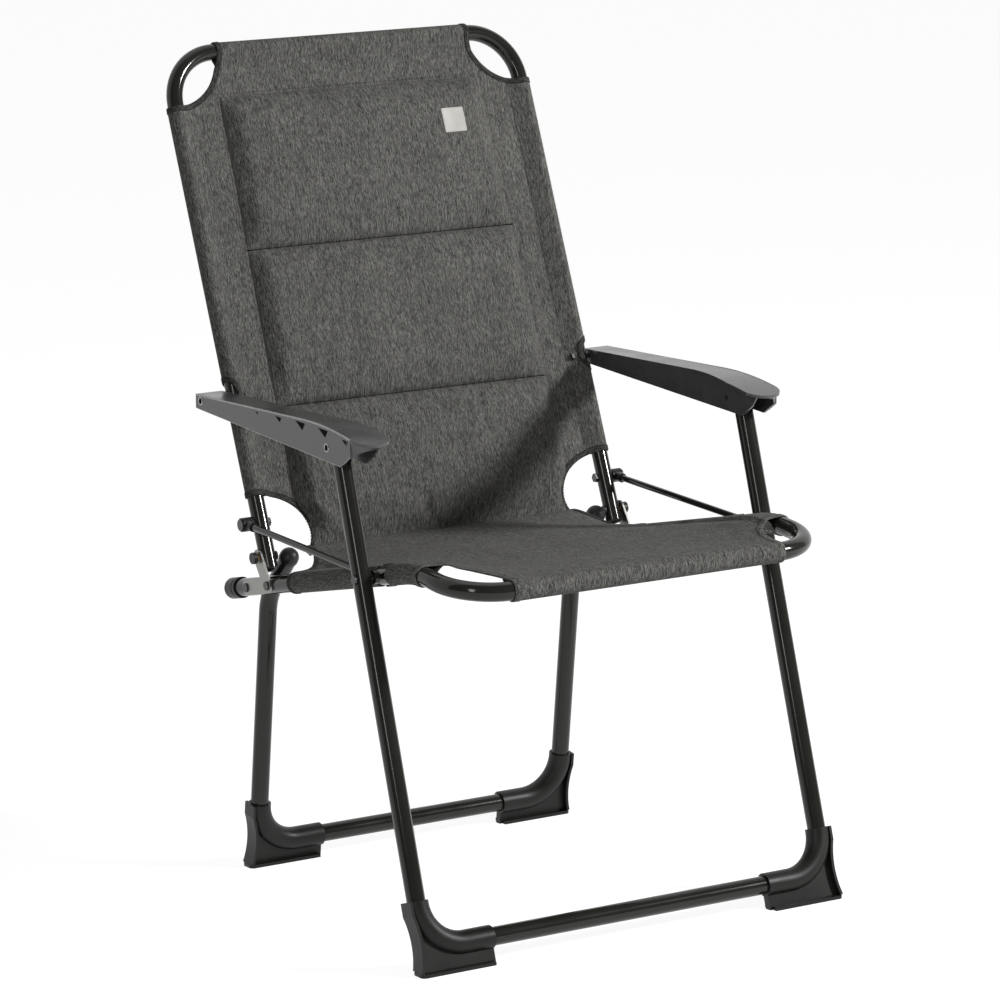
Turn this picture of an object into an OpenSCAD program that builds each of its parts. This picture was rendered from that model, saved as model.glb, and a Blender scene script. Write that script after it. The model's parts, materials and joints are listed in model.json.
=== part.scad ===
// Folding armchair: bent steel tube frame, sling seat, padded sling back, plastic arms and feet.
// X runs across the chair, the front faces -Y, +Z is up, and the floor is at Z = 0.
// The chair is drawn open. All pivots are bolts along X, so the frame is laid out in the side
// plane, where a point is [y, z] and seen from the right-hand side of the chair.

/* [Front legs] */
// Distance between the axes of the two front leg tubes
leg_span = 551; // [500:1:600]
// Outer diameter of the front leg tube
leg_d = 22; // [20:0.5:25]
// Backward lean of the front legs from vertical, in degrees
leg_lean = 16.8; // [14:0.1:19]
// Length of leg tube above its armrest pivot
leg_top = 8; // [6:0.5:9]
// Bend radius of the front leg tube at the floor
leg_corner_r = 52; // [45:1:60]
// Height of the two floor-level cross tubes above the floor
bar_h = 28; // [26:0.5:34]

/* [Linkage] */
// Height of the pivot that joins front leg, seat and strut
pivot_h = 436; // [410:1:460]
// Distance between the lower and the upper pivot on leg and back
pivot_gap = 154; // [146:1:162]
// Length of armrest and strut between their pivots
link_len = 309.5; // [295:0.5:325]
// Rise of armrest and strut towards the back, in degrees
link_rise = 2; // [1:0.1:3]
// Diameter of every pivot bolt
bolt_d = 6; // [5:0.5:7]
// Radial play of a turning bolt in its hole
bolt_play = 0.05; // [0.03:0.01:0.09]
// Radial play of the rear armrest bolt in the back tube
arm_bolt_play = 0.3; // [0.2:0.05:0.5]
// Side gap between parts that turn past each other
side_gap = 0.5; // [0.4:0.1:1]
// Diameter of the strut rods
strut_d = 8; // [6:0.5:8]
// Radius of the flat eyes at the front of the struts
eye_r = 8; // [7:0.5:9]
// Thickness of those eyes
eye_t = 6; // [4:0.5:7]
// Radius of the moulded ends at the rear of the struts
end_r = 8.5; // [8:0.5:10]
// Diameter of the bolt heads on those ends
strut_head_d = 14; // [12:0.5:16]
// Width of those ends
end_w = 14; // [12:0.5:16]

/* [Seat frame] */
// Outer diameter of the seat tube
seat_d = 22; // [20:0.5:23]
// Rise of the seat towards the front, in degrees
seat_rise = 12.1; // [10:0.1:14]
// Seat tube behind the rear leg pivot
seat_tail_len = 58; // [54:1:66]
// Straight seat tube ahead of the front leg pivot, up to the drop
seat_drop_start = 40; // [30:1:50]
// Radius of the drop at the front of the seat
seat_drop_r = 200; // [170:5:230]
// Angle of the drop, in degrees
seat_drop = 19; // [15:0.5:22]
// Straight tube from the drop to the front cross tube
seat_nose = 65; // [64:1:80]
// Bend radius of the seat tube at the front corners
seat_corner_r = 63; // [50:1:63]

/* [Back frame] */
// Outer diameter of the back tube
back_d = 20; // [18:0.5:21]
// Backward lean of the back, in degrees
back_lean = 21.2; // [19.5:0.1:23]
// Back tube above the strut pivot, up to the top cross tube
back_rise = 581; // [550:1:620]
// Gap between the lower ends of the back tube and the seat tube
tail_gap = 8; // [8:0.5:12]
// Bend radius of the back tube at the top corners
back_corner_r = 63; // [50:1:70]
// Height of the lock stud above the lower end of the back tube
lock_up = 14; // [13:0.5:18]

/* [Rear legs] */
// Gap between rear leg tube and seat tube
rear_side_gap = 4.45; // [4:0.05:8]
// Outer diameter of the rear leg tube
rear_d = 22; // [20:0.5:22]
// Distance of the rear leg pivot behind the lock stud, along the seat tube
rear_pivot_behind = 39.4; // [36:0.2:43]
// Forward lean of the rear legs from vertical, in degrees
rear_lean = 8.4; // [7:0.1:10]
// Bend at the top of the rear legs, in degrees
rear_bend = 35; // [30:1:38]
// Radius of that bend
rear_bend_r = 60; // [50:1:70]
// Straight rear leg tube between its pivot and the bend
rear_neck = 8; // [8:0.5:12]
// Rear leg tube above its pivot
rear_head = 50; // [46:0.5:54]
// Bend radius of the rear leg tube at the floor
rear_corner_r = 52; // [45:1:60]

/* [Tube and bolts] */
// Wall thickness of every tube
tube_wall = 1.5; // [1:0.1:2]
// Diameter of the flat bolt heads
head_d = 11; // [10:0.5:12]
// Thickness of the flat bolt heads
head_t = 1.9; // [1.5:0.1:2.2]
// Width across flats of the nuts
nut_w = 10; // [9:0.5:11]
// Thickness of the nuts
nut_t = 3.4; // [2.5:0.1:3.5]
// Radius of the washers that keep the rear legs off the seat tube
spacer_r = 8; // [7:0.5:10]
// Length of the saddles under the nuts of the front leg pivots
saddle_len = 22; // [18:1:26]
// Wall of those saddles
saddle_wall = 2.5; // [2:0.1:3]

/* [Armrests] */
// Thickness of the armrest's outer side and top
arm_wall = 3.5; // [3:0.1:4]
// Thickness of the armrest's inner side
arm_inner_wall = 3; // [2.5:0.1:3.5]
// Side gap between leg and armrest
arm_gap = 1; // [0.5:0.1:1.5]
// Height of the armrest's top above its front pivot
arm_crown = 27; // [25:0.5:30]
// Height of the armrest's top above its rear pivot
arm_heel = 7; // [7:0.5:9]
// Depth of the armrest below its front pivot
arm_drop = 14; // [13:0.5:16]
// Depth of the armrest below its rear pivot
arm_heel_drop = 10; // [9:0.5:12]
// Length of the armrest behind its rear pivot
arm_tail = 12; // [11:0.5:14]
// Length of the armrest's sides ahead of its front pivot
arm_cheek = 55; // [45:1:60]
// Length of the armrest's top ahead of its front pivot
arm_nose = 78; // [72:1:85]
// Drop of the armrest's top towards its nose
arm_dip = 12; // [8:0.5:14]
// Distance behind the front pivot at which the armrest's top starts to drop
arm_bend = 60; // [50:1:70]
// Extra width of the armrest's top at the front
arm_flare = 12; // [8:0.5:14]
// Depth of the triangular pockets on the outer side
pocket_t = 1.5; // [1:0.1:2]

/* [Feet] */
// Wall of the foot around the tube
foot_wall = 3; // [2.5:0.1:3.5]
// Length of the foot along the floor
foot_len = 101; // [90:1:110]
// Length of foot above the bend
foot_cuff = 3; // [2:0.5:8]
// Thickness of the flange on the floor
foot_sole = 4; // [3:0.5:6]
// Width of that flange
foot_w = 24; // [22:0.5:26]
// Thickness of the web in the corner of the foot
foot_web = 9; // [6:0.5:12]

/* [Lock plates and end caps] */
// Thickness of the steel lock plates
plate_t = 2.5; // [2:0.1:3]
// Distance of the front plate bolt ahead of the lock stud, along the seat tube
plate_bolt_ahead = 14.6; // [11:0.2:18]
// Diameter of the brass bush on the lock stud
bush_d = 9; // [8:0.5:10]
// Radial gap between that bush and its slot
bush_gap = 0.4; // [0.3:0.05:0.8]
// Length of the bush past the lock plate
bush_past = 3.5; // [2:0.5:4]
// Radius of the knob on the end of the lock stud
knob_r = 7; // [6:0.5:8]
// Thickness of that knob
knob_t = 5; // [4:0.5:6]
// Length of the caps on the rear ends of the seat tube
cap_len = 27; // [22:1:30]
// Wall of those caps
cap_wall = 2; // [1.5:0.1:2.5]

/* [Fabric] */
// Thickness of the fabric
cloth_t = 1.4; // [1:0.1:1.6]
// Gap between fabric sleeve and tube
cloth_play = 0.15; // [0.1:0.05:0.2]
// Radius of the cut-outs at the top corners of the back
top_scallop_r = 68; // [60:1:75]
// Radius of the cut-outs at the lower corners of the back
low_scallop_r = 66; // [60:1:72]
// Height of the lower end of the back's side sleeves above the strut pivot
sleeve_foot = 33; // [25:1:40]
// Height of the fabric's lower edge above the lower end of the back tube
hem_up = 12; // [10:1:18]
// Half height of the cut-outs at the armrest bolts
arm_scallop = 20; // [17:1:24]
// Half width of the padded panel
pad_half_w = 184; // [170:1:188]
// Heights of the seams between the pads above the strut pivot: top, upper, lower
pad_top = 525; // [505:1:528]
pad_seam_1 = 331; // [310:1:350]
pad_seam_2 = 136; // [120:1:150]
// Width of those seams
pad_seam_w = 3; // [2:0.5:5]
// Corner radius of the pads
pad_corner_r = 12; // [8:1:16]
// Depth of a pad in front of the back's plane
pad_front = 11; // [7:0.5:13]
// Depth of a pad behind that plane
pad_rear = 7; // [5:0.5:9]
// Distance of the rear end of the seat's side sleeves ahead of the lock stud
seat_sleeve_short = 62; // [55:1:75]
// Front end of the seat's side sleeves ahead of the front leg pivot
seat_sleeve_front = 84; // [70:1:90]
// Half length of the gap in the sleeves at the front leg pivot
seat_sleeve_gap = 14; // [13:0.5:18]
// Length over which the seat fabric rises towards the back
seat_rise_len = 105; // [80:5:130]
// Gap between the rear edge of the seat fabric and the hem of the back
crotch_gap = 2; // [1:0.5:4]
// Radius of the cut-outs at the seat's corners
seat_scallop_r = 62; // [55:1:66]

/* [Hidden] */
$fn = 64;
cut = 1;            // how far a cutter runs past the face that it cuts
seam = 0.002;       // hairline between a straight tube and its bend
steel = "#3b3b38";
plastic = "#2f3031";
fabric = "#5b5b58";
zinc = "#8d8d88";

function polar(a) = [cos(a), sin(a)];
// Widths, from the legs inwards
leg_x = leg_span / 2;
strut_x = leg_x - leg_d / 2 - side_gap - strut_d / 2;
wrap = cloth_play + cloth_t;
seat_x = strut_x - strut_d / 2 - side_gap - wrap - seat_d / 2;
back_x = seat_x;
seat_in = seat_x - seat_d / 2;
rear_x = seat_in - rear_side_gap - rear_d / 2;
seat_out = seat_x + seat_d / 2;
back_in = back_x - back_d / 2;
back_out = back_x + back_d / 2;
arm_out = leg_x + leg_d / 2 + arm_gap + arm_wall;
arm_in = seat_out + wrap + side_gap / 2;
// The pivots of leg and back lie on lines with the mean lean, so each pair straddles its tube's axis
pivot_lean = (leg_lean + back_lean) / 2;
pivot_up = pivot_gap * [sin(pivot_lean), cos(pivot_lean)];
link = link_len * polar(link_rise);
leg_dir = [sin(leg_lean), cos(leg_lean)];
back_dir = [sin(back_lean), cos(back_lean)];
back_face = [-cos(back_lean), sin(back_lean)];
pivot_off = pivot_gap / 2 * sin((back_lean - leg_lean) / 2);
pivot_reach = pivot_gap / 2 * cos((back_lean - leg_lean) / 2);
seat_back = polar(-seat_rise);
seat_up = polar(90 - seat_rise);
// Front of the seat, worked out from the front leg pivot
nose_start = -seat_drop_start * seat_back;
drop_c = nose_start - seat_drop_r * seat_up;
nose_a = 90 - seat_rise + seat_drop;
nose_end = drop_c + seat_drop_r * polar(nose_a);
nose_dir = polar(nose_a + 90);
seat_bar_rel = nose_end + seat_nose * nose_dir;
// The back tube ends above the seat tube, and lock stud, hem and plate follow that end
foot_rel = link + pivot_off * back_face;
back_tail = (foot_rel * seat_up - seat_d / 2 - tail_gap - back_d / 2 * sin(back_lean - seat_rise))
    / cos(back_lean - seat_rise);
lock_drop = back_tail - lock_up;
back_hem = back_tail - hem_up;
lock_at = (foot_rel - lock_drop * back_dir) * seat_back;
rear_pivot_at = lock_at + rear_pivot_behind;
plate_bolt_at = lock_at - plate_bolt_ahead;
seat_tail = rear_pivot_at + seat_tail_len;
// Places of the pivots, with the chair's depth centred on Y = 0
back_top_rel = foot_rel + back_rise * back_dir;
depth_front = seat_bar_rel[0] - seat_d / 2 - wrap;
depth_rear = back_top_rel[0] + back_d / 2 + wrap;
leg_pivot = [-(depth_front + depth_rear) / 2, pivot_h];
arm_pivot = leg_pivot + pivot_up;
strut_pivot = leg_pivot + link;
arm_rear_pivot = arm_pivot + link;
back_foot = leg_pivot + foot_rel;
lock_point = back_foot - lock_drop * back_dir;
rear_pivot = leg_pivot + rear_pivot_at * seat_back;
plate_bolt = leg_pivot + plate_bolt_at * seat_back;
seat_bar = leg_pivot + seat_bar_rel;
leg_mid = leg_pivot + pivot_up / 2;
leg_foot = leg_mid - (leg_mid[1] - bar_h) / leg_dir[1] * leg_dir;
leg_len = norm(leg_mid - leg_foot) + pivot_reach + leg_top;
// The seat fabric starts on top of the tubes and ends just below the back's hem, in [along, above] the tube
// The sheet is a little thinner than the sleeves, and its edges end inside their walls
sheet_t = cloth_t - 0.2;
seat_top_h = seat_d / 2 + wrap - 0.3;
sheet_in = sqrt(pow(seat_d / 2 + cloth_play + cloth_t / 2, 2) - pow(seat_top_h - sheet_t / 2, 2));
hem_rel = foot_rel - (back_hem + crotch_gap) * back_dir;
seat_crotch = [hem_rel * seat_back, hem_rel * seat_up];
seat_rise_start = seat_crotch[0] - seat_rise_len;
seat_sleeve_rear = lock_at - seat_sleeve_short;
// The lowest pad ends above the hem, between the cut-outs at the lower corners
pad_foot = 4 - back_hem;
pad_foot_half_w = back_x - low_scallop_r - 2;
// Rear leg, from its pivot down to the floor
rear_neck_a = 90 + rear_lean + rear_bend;
rear_bend_start = rear_pivot - rear_neck * polar(rear_neck_a);
rear_bend_c = rear_bend_start + rear_bend_r * polar(rear_neck_a + 90);
rear_bend_end = rear_bend_c + rear_bend_r * polar(rear_neck_a - 90 - rear_bend);
rear_dir = polar(90 + rear_lean);
rear_foot = rear_bend_end - (rear_bend_end[1] - bar_h) / rear_dir[1] * rear_dir;
rear_top = rear_pivot + rear_head * polar(rear_neck_a);

// Both sides of the chair
module both() {
    children();
    mirror([1, 0, 0]) children();
}

// The side plane at x: the children's x, y and z become y, z and x
module side(x = 0) {
    translate([x, 0, 0]) rotate([90, 0, 90]) children();
}

// A rod in the side plane from p to q, centred on x
module side_rod(x, p, q, r) {
    side(x) translate(p) rotate(atan2(q[1] - p[1], q[0] - p[0]))
        rotate([0, 90, 0]) cylinder(h = norm(q - p), r = r);
}

// A pin along X through point p, from x1 to x2
module cross_pin(p, x1, x2, r) {
    side(x1) translate(p) cylinder(h = x2 - x1, r = r);
}

// Holes for a bolt through point p, in both sides of a frame
module bolt_holes(p, x1, x2, play = bolt_play) {
    both() cross_pin(p, x1, x2, bolt_d / 2 + play);
}

// A bolt through p from the nut's inner end at x1 to the head's outer end at x2
module bolt(p, x1, x2, head = head_d) {
    cross_pin(p, x1, x2 - head_t, bolt_d / 2);
    cross_pin(p, x2 - head_t, x2, head / 2);
    side(x1) translate(p) cylinder(h = nut_t, r = nut_w / 2 / cos(30), $fn = 6);
}

// Quarter bend or less, in the children's XY plane, starting on the X axis
module elbow(bend_r, r, a) {
    rotate_extrude(angle = a) translate([bend_r, 0]) circle(r = r);
}

// U of round bar: cross bar along X through the origin, legs up to z = len
module u_bar(half, len, corner, r) {
    translate([corner - half, 0, 0]) rotate([0, 90, 0]) cylinder(h = 2 * (half - corner), r = r);
    both() {
        translate([half, 0, corner]) cylinder(h = len - corner, r = r);
        translate([half - corner, 0, corner]) rotate([-90, 0, 0]) elbow(corner, r, 90);
    }
}

// The same U as a tube, open at its upper ends
module u_tube(half, len, corner, d) {
    difference() {
        u_bar(half, len, corner, d / 2);
        u_bar(half, len + cut, corner, d / 2 - tube_wall);
    }
}

// Puts a U frame's cross bar at p in the side plane, with its legs at angle a from horizontal
module lean_to(p, a) {
    translate([0, p[0], p[1]]) rotate([a - 90, 0, 0]) children();
}

// ---- Front legs ----

module front_leg_frame() {
    color(steel) difference() {
        lean_to(leg_foot, 90 - leg_lean) u_tube(leg_x, leg_len, leg_corner_r, leg_d);
        bolt_holes(leg_pivot, leg_x - leg_d, leg_x + leg_d);
        bolt_holes(arm_pivot, leg_x - leg_d, leg_x + leg_d);
    }
}

// Plug with a flat rim in the end of a tube that points along +Z
module tube_plug(d, stem) {
    rim = 1.5;
    translate([0, 0, -stem]) cylinder(h = stem, r = d / 2 - tube_wall - cloth_play);
    cylinder(h = rim, r1 = d / 2, r2 = d / 2 - rim);
}

module leg_top_plugs() {
    color(plastic) difference() {
        lean_to(leg_foot, 90 - leg_lean) both() translate([leg_x, 0, leg_len]) tube_plug(leg_d, 4);
        bolt_holes(arm_pivot, leg_x - leg_d, leg_x + leg_d);
    }
}

// Foot on the right-hand corner of a U frame that stands at p and leans at angle a.
// A sleeve hugs the bend, a thin web fills the corner and a flange lies on the floor.
module corner_foot(p, a, half, corner, d) {
    r = d / 2 + foot_wall;
    reach = half - foot_len + r;
    down = p[1] / sin(a) + r;
    top = corner + foot_cuff;
    floor_y = p[0] - p[1] / tan(a);
    waist = 110;
    edge = half + r;
    difference() {
        intersection() {
            union() {
                lean_to(p, a) {
                    translate([reach, 0, 0]) rotate([0, 90, 0]) cylinder(h = half - corner - reach, r = r);
                    translate([half - corner, 0, corner]) rotate([-90, 0, 0]) elbow(corner, r, 90);
                    translate([half, 0, corner]) cylinder(h = foot_cuff, r = r);
                    // web with a hollow outer edge, and the rim along that edge
                    rotate([90, 0, 0]) {
                        linear_extrude(foot_web, center = true)
                            foot_outline(reach, edge, down, top, waist, half, corner, 0);
                        linear_extrude(2 * r - 5, center = true) difference() {
                            foot_outline(reach, edge, down, top, waist, half, corner, 0);
                            foot_outline(reach - cut, edge, down + cut, top + cut, waist, half, corner, 3.5);
                        }
                    }
                }
                translate([reach + 4, floor_y - foot_w / 2, 0]) cube([edge - reach - 4, foot_w, foot_sole]);
            }
            translate([0, floor_y - foot_len, 0]) cube([2 * half, 2 * foot_len, 2 * foot_len]);
        }
        lean_to(p, a) u_bar(half, top + corner, corner, d / 2 + cloth_play);
        // the sole's outer corners are rounded in plan
        translate([edge, floor_y, 0]) for (m = [0, 1]) mirror([0, m, 0])
            translate([0, foot_w / 2, -cut]) difference() {
                translate([-6, -6, 0]) cube([6 + cut, 6 + cut, foot_sole + 2 * cut]);
                translate([-6, -6, -cut]) cylinder(h = foot_sole + 4 * cut, r = 6);
            }
    }
}

// Outline of the foot in the plane of its frame, cut back by an inset along the outer edge
module foot_outline(x1, x2, down, top, waist, half, corner, inset) {
    difference() {
        polygon([[x1, -down], [x2 - inset, -down], [x2 - inset, top], [half, top], [half, corner],
            [half - corner, corner], [half - corner, 0], [x1, 0]]);
        translate([half - corner, corner]) circle(r = corner + 2);
        translate([x2 - inset + waist - 5, top / 2 - down / 2]) circle(r = waist, $fn = 128);
    }
}

module front_foot_right() {
    color(plastic) corner_foot(leg_foot, 90 - leg_lean, leg_x, leg_corner_r, leg_d);
}

module front_foot_left() {
    mirror([1, 0, 0]) front_foot_right();
}

// Bolts through front leg, strut eye and seat tube
module seat_pivot_bolts() {
    color(zinc) both() bolt(leg_pivot, seat_in - nut_t, leg_x + leg_d / 2 + head_t);
}

module arm_front_bolts() {
    color(zinc) both() bolt(arm_pivot, arm_in + arm_inner_wall + side_gap, arm_out);
}

// ---- Armrests ----

// Height of the armrest's top at distance u behind its front pivot: straight, then rounded
// off towards the nose
function arm_top(u) = arm_crown + (arm_heel - arm_crown) * u / link_len
    - (u < arm_bend ? 1.4 * arm_dip * pow((arm_bend - u) / (arm_bend + arm_nose), 2) : 0);

// Side outline of the armrest, with its front pivot at the origin and its rear pivot on +X
module arm_profile(front, inset = 0, low = 0) {
    steps = 10;
    polygon(concat(
        [[link_len + arm_tail - inset, -arm_heel_drop - low],
         [link_len + arm_tail - inset, arm_top(link_len) - inset]],
        [for (i = [0:steps]) let (u = arm_bend - (arm_bend + front) * i / steps) [u, arm_top(u) - inset]],
        [[-front, -1 - low], [-0.6 * front, -arm_drop - 2 - low]]));
}

// Plan outline of the armrest, x along the armrest and y across it
module arm_plan() {
    w = arm_out - arm_in;
    tip_r = 24;
    hull() {
        translate([link_len + arm_tail - 6, 0]) square([6, w]);
        translate([60, 0]) square([6, w]);
    }
    hull() {
        translate([60, 0]) square([6, w]);
        translate([0, -0.6 * arm_flare]) square([10, w + 0.6 * arm_flare]);
        translate([-30, -arm_flare]) square([10, w + arm_flare]);
        translate([-arm_nose + tip_r, w - tip_r]) circle(r = tip_r, $fn = 32);
        translate([-arm_nose + tip_r + 6, -arm_flare + tip_r]) circle(r = tip_r, $fn = 32);
    }
}

// Armrest in its own frame: x from the front pivot back, y up, z from its inner side out
module arm_shell() {
    w = arm_out - arm_in;
    long = link_len + arm_tail + arm_nose;
    difference() {
        union() {
            // sides and everything under the top
            linear_extrude(w) arm_profile(arm_cheek);
            // top plate with its flare and round nose
            intersection() {
                translate([0, 0, -arm_flare]) linear_extrude(w + arm_flare) difference() {
                    arm_profile(arm_nose);
                    arm_profile(arm_nose + cut, arm_wall, arm_wall);
                }
                rotate([-90, 0, 0]) mirror([0, 1, 0]) translate([0, 0, -2 * arm_crown])
                    linear_extrude(4 * arm_crown) arm_plan();
            }
        }
        // the channel, open below and at the front, closed at the rear
        difference() {
            translate([0, 0, arm_inner_wall]) linear_extrude(w - arm_wall - arm_inner_wall)
                difference() {
                    translate([-arm_nose, -60]) square([long, 120]);
                    translate([link_len + arm_tail - arm_wall, -60]) square([arm_wall + cut, 120]);
                    difference() {
                        translate([-arm_nose, 0]) square([long, 60]);
                        arm_profile(arm_nose + cut, arm_wall);
                        translate([-arm_nose, -60]) square([long, 60 + arm_top(link_len) - arm_wall]);
                    }
                }
        }
        // five triangular pockets under the edge, the longest beside the pivot
        for (p = [[167, 3], [114, 6], [61, 9], [7, 9], [-44, 6]])
            translate([p[0], arm_top(p[0]) - 4, w - pocket_t])
                linear_extrude(pocket_t + cut)
                    polygon([[1.4 * p[1], 0], [-1.2 * p[1], 0], [-0.5 * p[1], -p[1]]]);
    }
}

module armrest_right() {
    play = bolt_d / 2 + bolt_play;
    color(plastic) difference() {
        side(arm_in) translate(arm_pivot) rotate(link_rise) arm_shell();
        cross_pin(arm_pivot, arm_in - cut, arm_out + cut, play);
        cross_pin(arm_pivot, arm_out - head_t - bolt_play, arm_out + cut, head_d / 2 + bolt_play);
        cross_pin(arm_rear_pivot, arm_in - cut, arm_out + cut, play);
        cross_pin(arm_rear_pivot, arm_out - head_t - bolt_play, arm_out + cut, head_d / 2 + bolt_play);
    }
}

module armrest_left() {
    mirror([1, 0, 0]) armrest_right();
}

module arm_rear_bolts() {
    color(zinc) both() bolt(arm_rear_pivot, back_in - nut_t - side_gap, arm_out);
}

// ---- Struts ----

module strut_right() {
    dir = link / link_len;
    color(steel) difference() {
        union() {
            side_rod(strut_x, leg_pivot, strut_pivot - (end_r - 4) * dir, strut_d / 2);
            cross_pin(leg_pivot, strut_x - eye_t / 2, strut_x + eye_t / 2, eye_r);
        }
        cross_pin(leg_pivot, strut_x - strut_d, strut_x + strut_d, bolt_d / 2 + bolt_play);
        // the rod is pressed flat beside the pivot
        for (s = [-1, 1]) side(strut_x + s * (eye_t + strut_d) / 2) translate(leg_pivot)
            rotate(link_rise) translate([-eye_r - cut, -strut_d, -strut_d / 2])
                cube([2 * eye_r + cut, 2 * strut_d, strut_d]);
    }
}

module strut_left() {
    mirror([1, 0, 0]) strut_right();
}

// Moulded ends that hold the struts on the back
module strut_ends() {
    x1 = back_out + side_gap;
    dir = link / link_len;
    color(plastic) both() difference() {
        union() {
            cross_pin(strut_pivot, x1, x1 + end_w, end_r);
            side_rod(strut_x, strut_pivot - 2.1 * end_r * dir, strut_pivot, strut_d / 2 + 2);
        }
        side_rod(strut_x, strut_pivot - 4 * end_r * dir, strut_pivot - (end_r - 4) * dir, strut_d / 2 + cloth_play);
        cross_pin(strut_pivot, x1 - cut, x1 + end_w + cut, bolt_d / 2 + bolt_play);
    }
}

// ---- Seat ----

// The seat's own frame in the side plane: x back along the tube from the front leg pivot, y up
module on_seat(x = 0) {
    side(x) translate(leg_pivot) rotate(-seat_rise) children();
}

// The nose's frame: x across, z back along the tube from the front cross tube
module on_nose() {
    on_seat() translate([-seat_drop_start, -seat_drop_r]) rotate(seat_drop)
        translate([-seat_nose, seat_drop_r]) rotate([0, 90, 0]) children();
}

module seat_bars(r, ext = 0) {
    both() on_seat(seat_x) {
        translate([seam - seat_drop_start, 0]) rotate([0, 90, 0])
            cylinder(h = seat_drop_start + seat_tail + ext - seam, r = r);
        translate([-seat_drop_start, -seat_drop_r]) rotate(90) elbow(seat_drop_r, r, seat_drop);
    }
    on_nose() u_bar(seat_x, seat_nose - seam, seat_corner_r, r);
}

module seat_frame() {
    color(steel) difference() {
        seat_bars(seat_d / 2);
        seat_bars(seat_d / 2 - tube_wall, cut);
        bolt_holes(leg_pivot, seat_in - cut, seat_out + cut);
        bolt_holes(plate_bolt, seat_in - cut, seat_out + cut);
        bolt_holes(rear_pivot, seat_in - cut, seat_out + cut);
    }
}

// Caps on the rear ends of the seat tube, with a ring groove
module seat_end_caps() {
    r = seat_d / 2 + cap_wall;
    dir = seat_back;
    end = leg_pivot + (seat_tail + cap_wall + 2) * dir;
    start = end - cap_len * dir;
    color(plastic) both() difference() {
        side(seat_x) translate(start) rotate(-seat_rise) rotate([0, 90, 0]) rotate_extrude()
            polygon([[0, 0], [r, 0], [r, 5], [r - 0.8, 5.6], [r - 0.8, 7], [r, 7.6],
                [r, cap_len - 3], [r - 3, cap_len], [5, cap_len], [4, cap_len - 1.5], [0, cap_len - 1.5]]);
        side_rod(seat_x, start - cut * dir, leg_pivot + (seat_tail + cloth_play) * dir,
            seat_d / 2 + cloth_play);
    }
}

// Steel plate on the outside of the seat tube: its open slot holds the back's lock stud
module lock_plate_right() {
    lug_r = 9;
    slot_r = bush_d / 2 + bush_gap;
    lock_r = norm(lock_point - strut_pivot);
    lock_a = atan2(lock_point[1] - strut_pivot[1], lock_point[0] - strut_pivot[0]);
    slot_a = asin(slot_r / 2 / lock_r) * 2;
    color(zinc) difference() {
        side(seat_out) {
            linear_extrude(plate_t) difference() {
                union() {
                    hull() {
                        translate(plate_bolt) circle(r = lug_r);
                        translate(rear_pivot) circle(r = lug_r);
                    }
                    hull() {
                        translate(plate_bolt) circle(r = lug_r);
                        translate(lock_point) circle(r = lug_r + 1);
                    }
                }
                translate(lock_point) circle(r = slot_r);
            }
        }
        // the slot follows the stud's arc round the strut pivot, out of the plate's rear edge
        side(seat_out - cut) translate(strut_pivot) rotate(lock_a)
            rotate_extrude(angle = 60) translate([lock_r - slot_r, 0]) square([2 * slot_r, plate_t + 2 * cut]);
        for (p = [plate_bolt, rear_pivot])
            cross_pin(p, seat_out - cut, seat_out + plate_t + cut, bolt_d / 2 + bolt_play);
    }
}

module lock_plate_left() {
    mirror([1, 0, 0]) lock_plate_right();
}

module lock_plate_bolts() {
    color(zinc) both() bolt(plate_bolt, seat_in - nut_t, seat_out + plate_t + head_t);
}

module rear_pivot_bolts() {
    color(zinc) both() bolt(rear_pivot, rear_x - rear_d / 2 - nut_t - side_gap, seat_out + plate_t + head_t);
}

// Washers that keep the rear legs off the seat tube
module rear_pivot_spacers() {
    color(plastic) both() difference() {
        cross_pin(rear_pivot, rear_x + rear_d / 2 + side_gap / 2, seat_in, spacer_r);
        cross_pin(rear_pivot, rear_x, seat_in + cut, bolt_d / 2 + bolt_play);
    }
}

// Saddles between the seat tube and the pivot bolt's nut
module seat_pivot_saddles() {
    r = seat_d / 2 + saddle_wall;
    half = saddle_len / 2 * seat_back;
    color(plastic) both() difference() {
        side_rod(seat_x, leg_pivot - half, leg_pivot + half, r);
        side_rod(seat_x, leg_pivot - 2 * half, leg_pivot + 2 * half, seat_d / 2 + cloth_play);
        side(seat_x - 2) translate(leg_pivot - 2 * saddle_len * [1, 1])
            cube([4 * saddle_len, 4 * saddle_len, 2 * r]);
        cross_pin(leg_pivot, seat_in - r, seat_x, nut_w / 2 / cos(30) + side_gap / 2);
    }
}

// Height of the seat fabric above the tube's axis at distance d behind the front leg pivot
function seat_sheet_h(d) = seat_top_h + (seat_crotch[1] - seat_top_h)
    * pow(max(d - seat_rise_start, 0) / (seat_crotch[0] - seat_rise_start), 2);

// Side outline of the seat fabric in the seat's frame, from its rear edge to the front cross tube
module seat_strip_outline() {
    steps = 8;
    c = [-seat_drop_start, -seat_drop_r];
    line = concat(
        [for (i = [0:steps]) let (d = seat_crotch[0] - seat_rise_len * i / steps) [d, seat_sheet_h(d)]],
        [for (i = [0:steps]) c + (seat_drop_r + seat_top_h) * polar(90 + seat_drop * i / steps)],
        [c + (seat_drop_r + seat_top_h) * polar(90 + seat_drop) + (seat_nose - sheet_in) * polar(180 + seat_drop)]);
    last = len(line) - 1;
    // the lower face lies one thickness under the upper one, square to the line
    under = [for (i = [last:-1:0]) let (
            a = line[max(i - 1, 0)],
            b = line[min(i + 1, last)],
            dir = (b - a) / norm(b - a))
        line[i] + sheet_t * [-dir[1], dir[0]]];
    polygon(concat(line, under));
}

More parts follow.
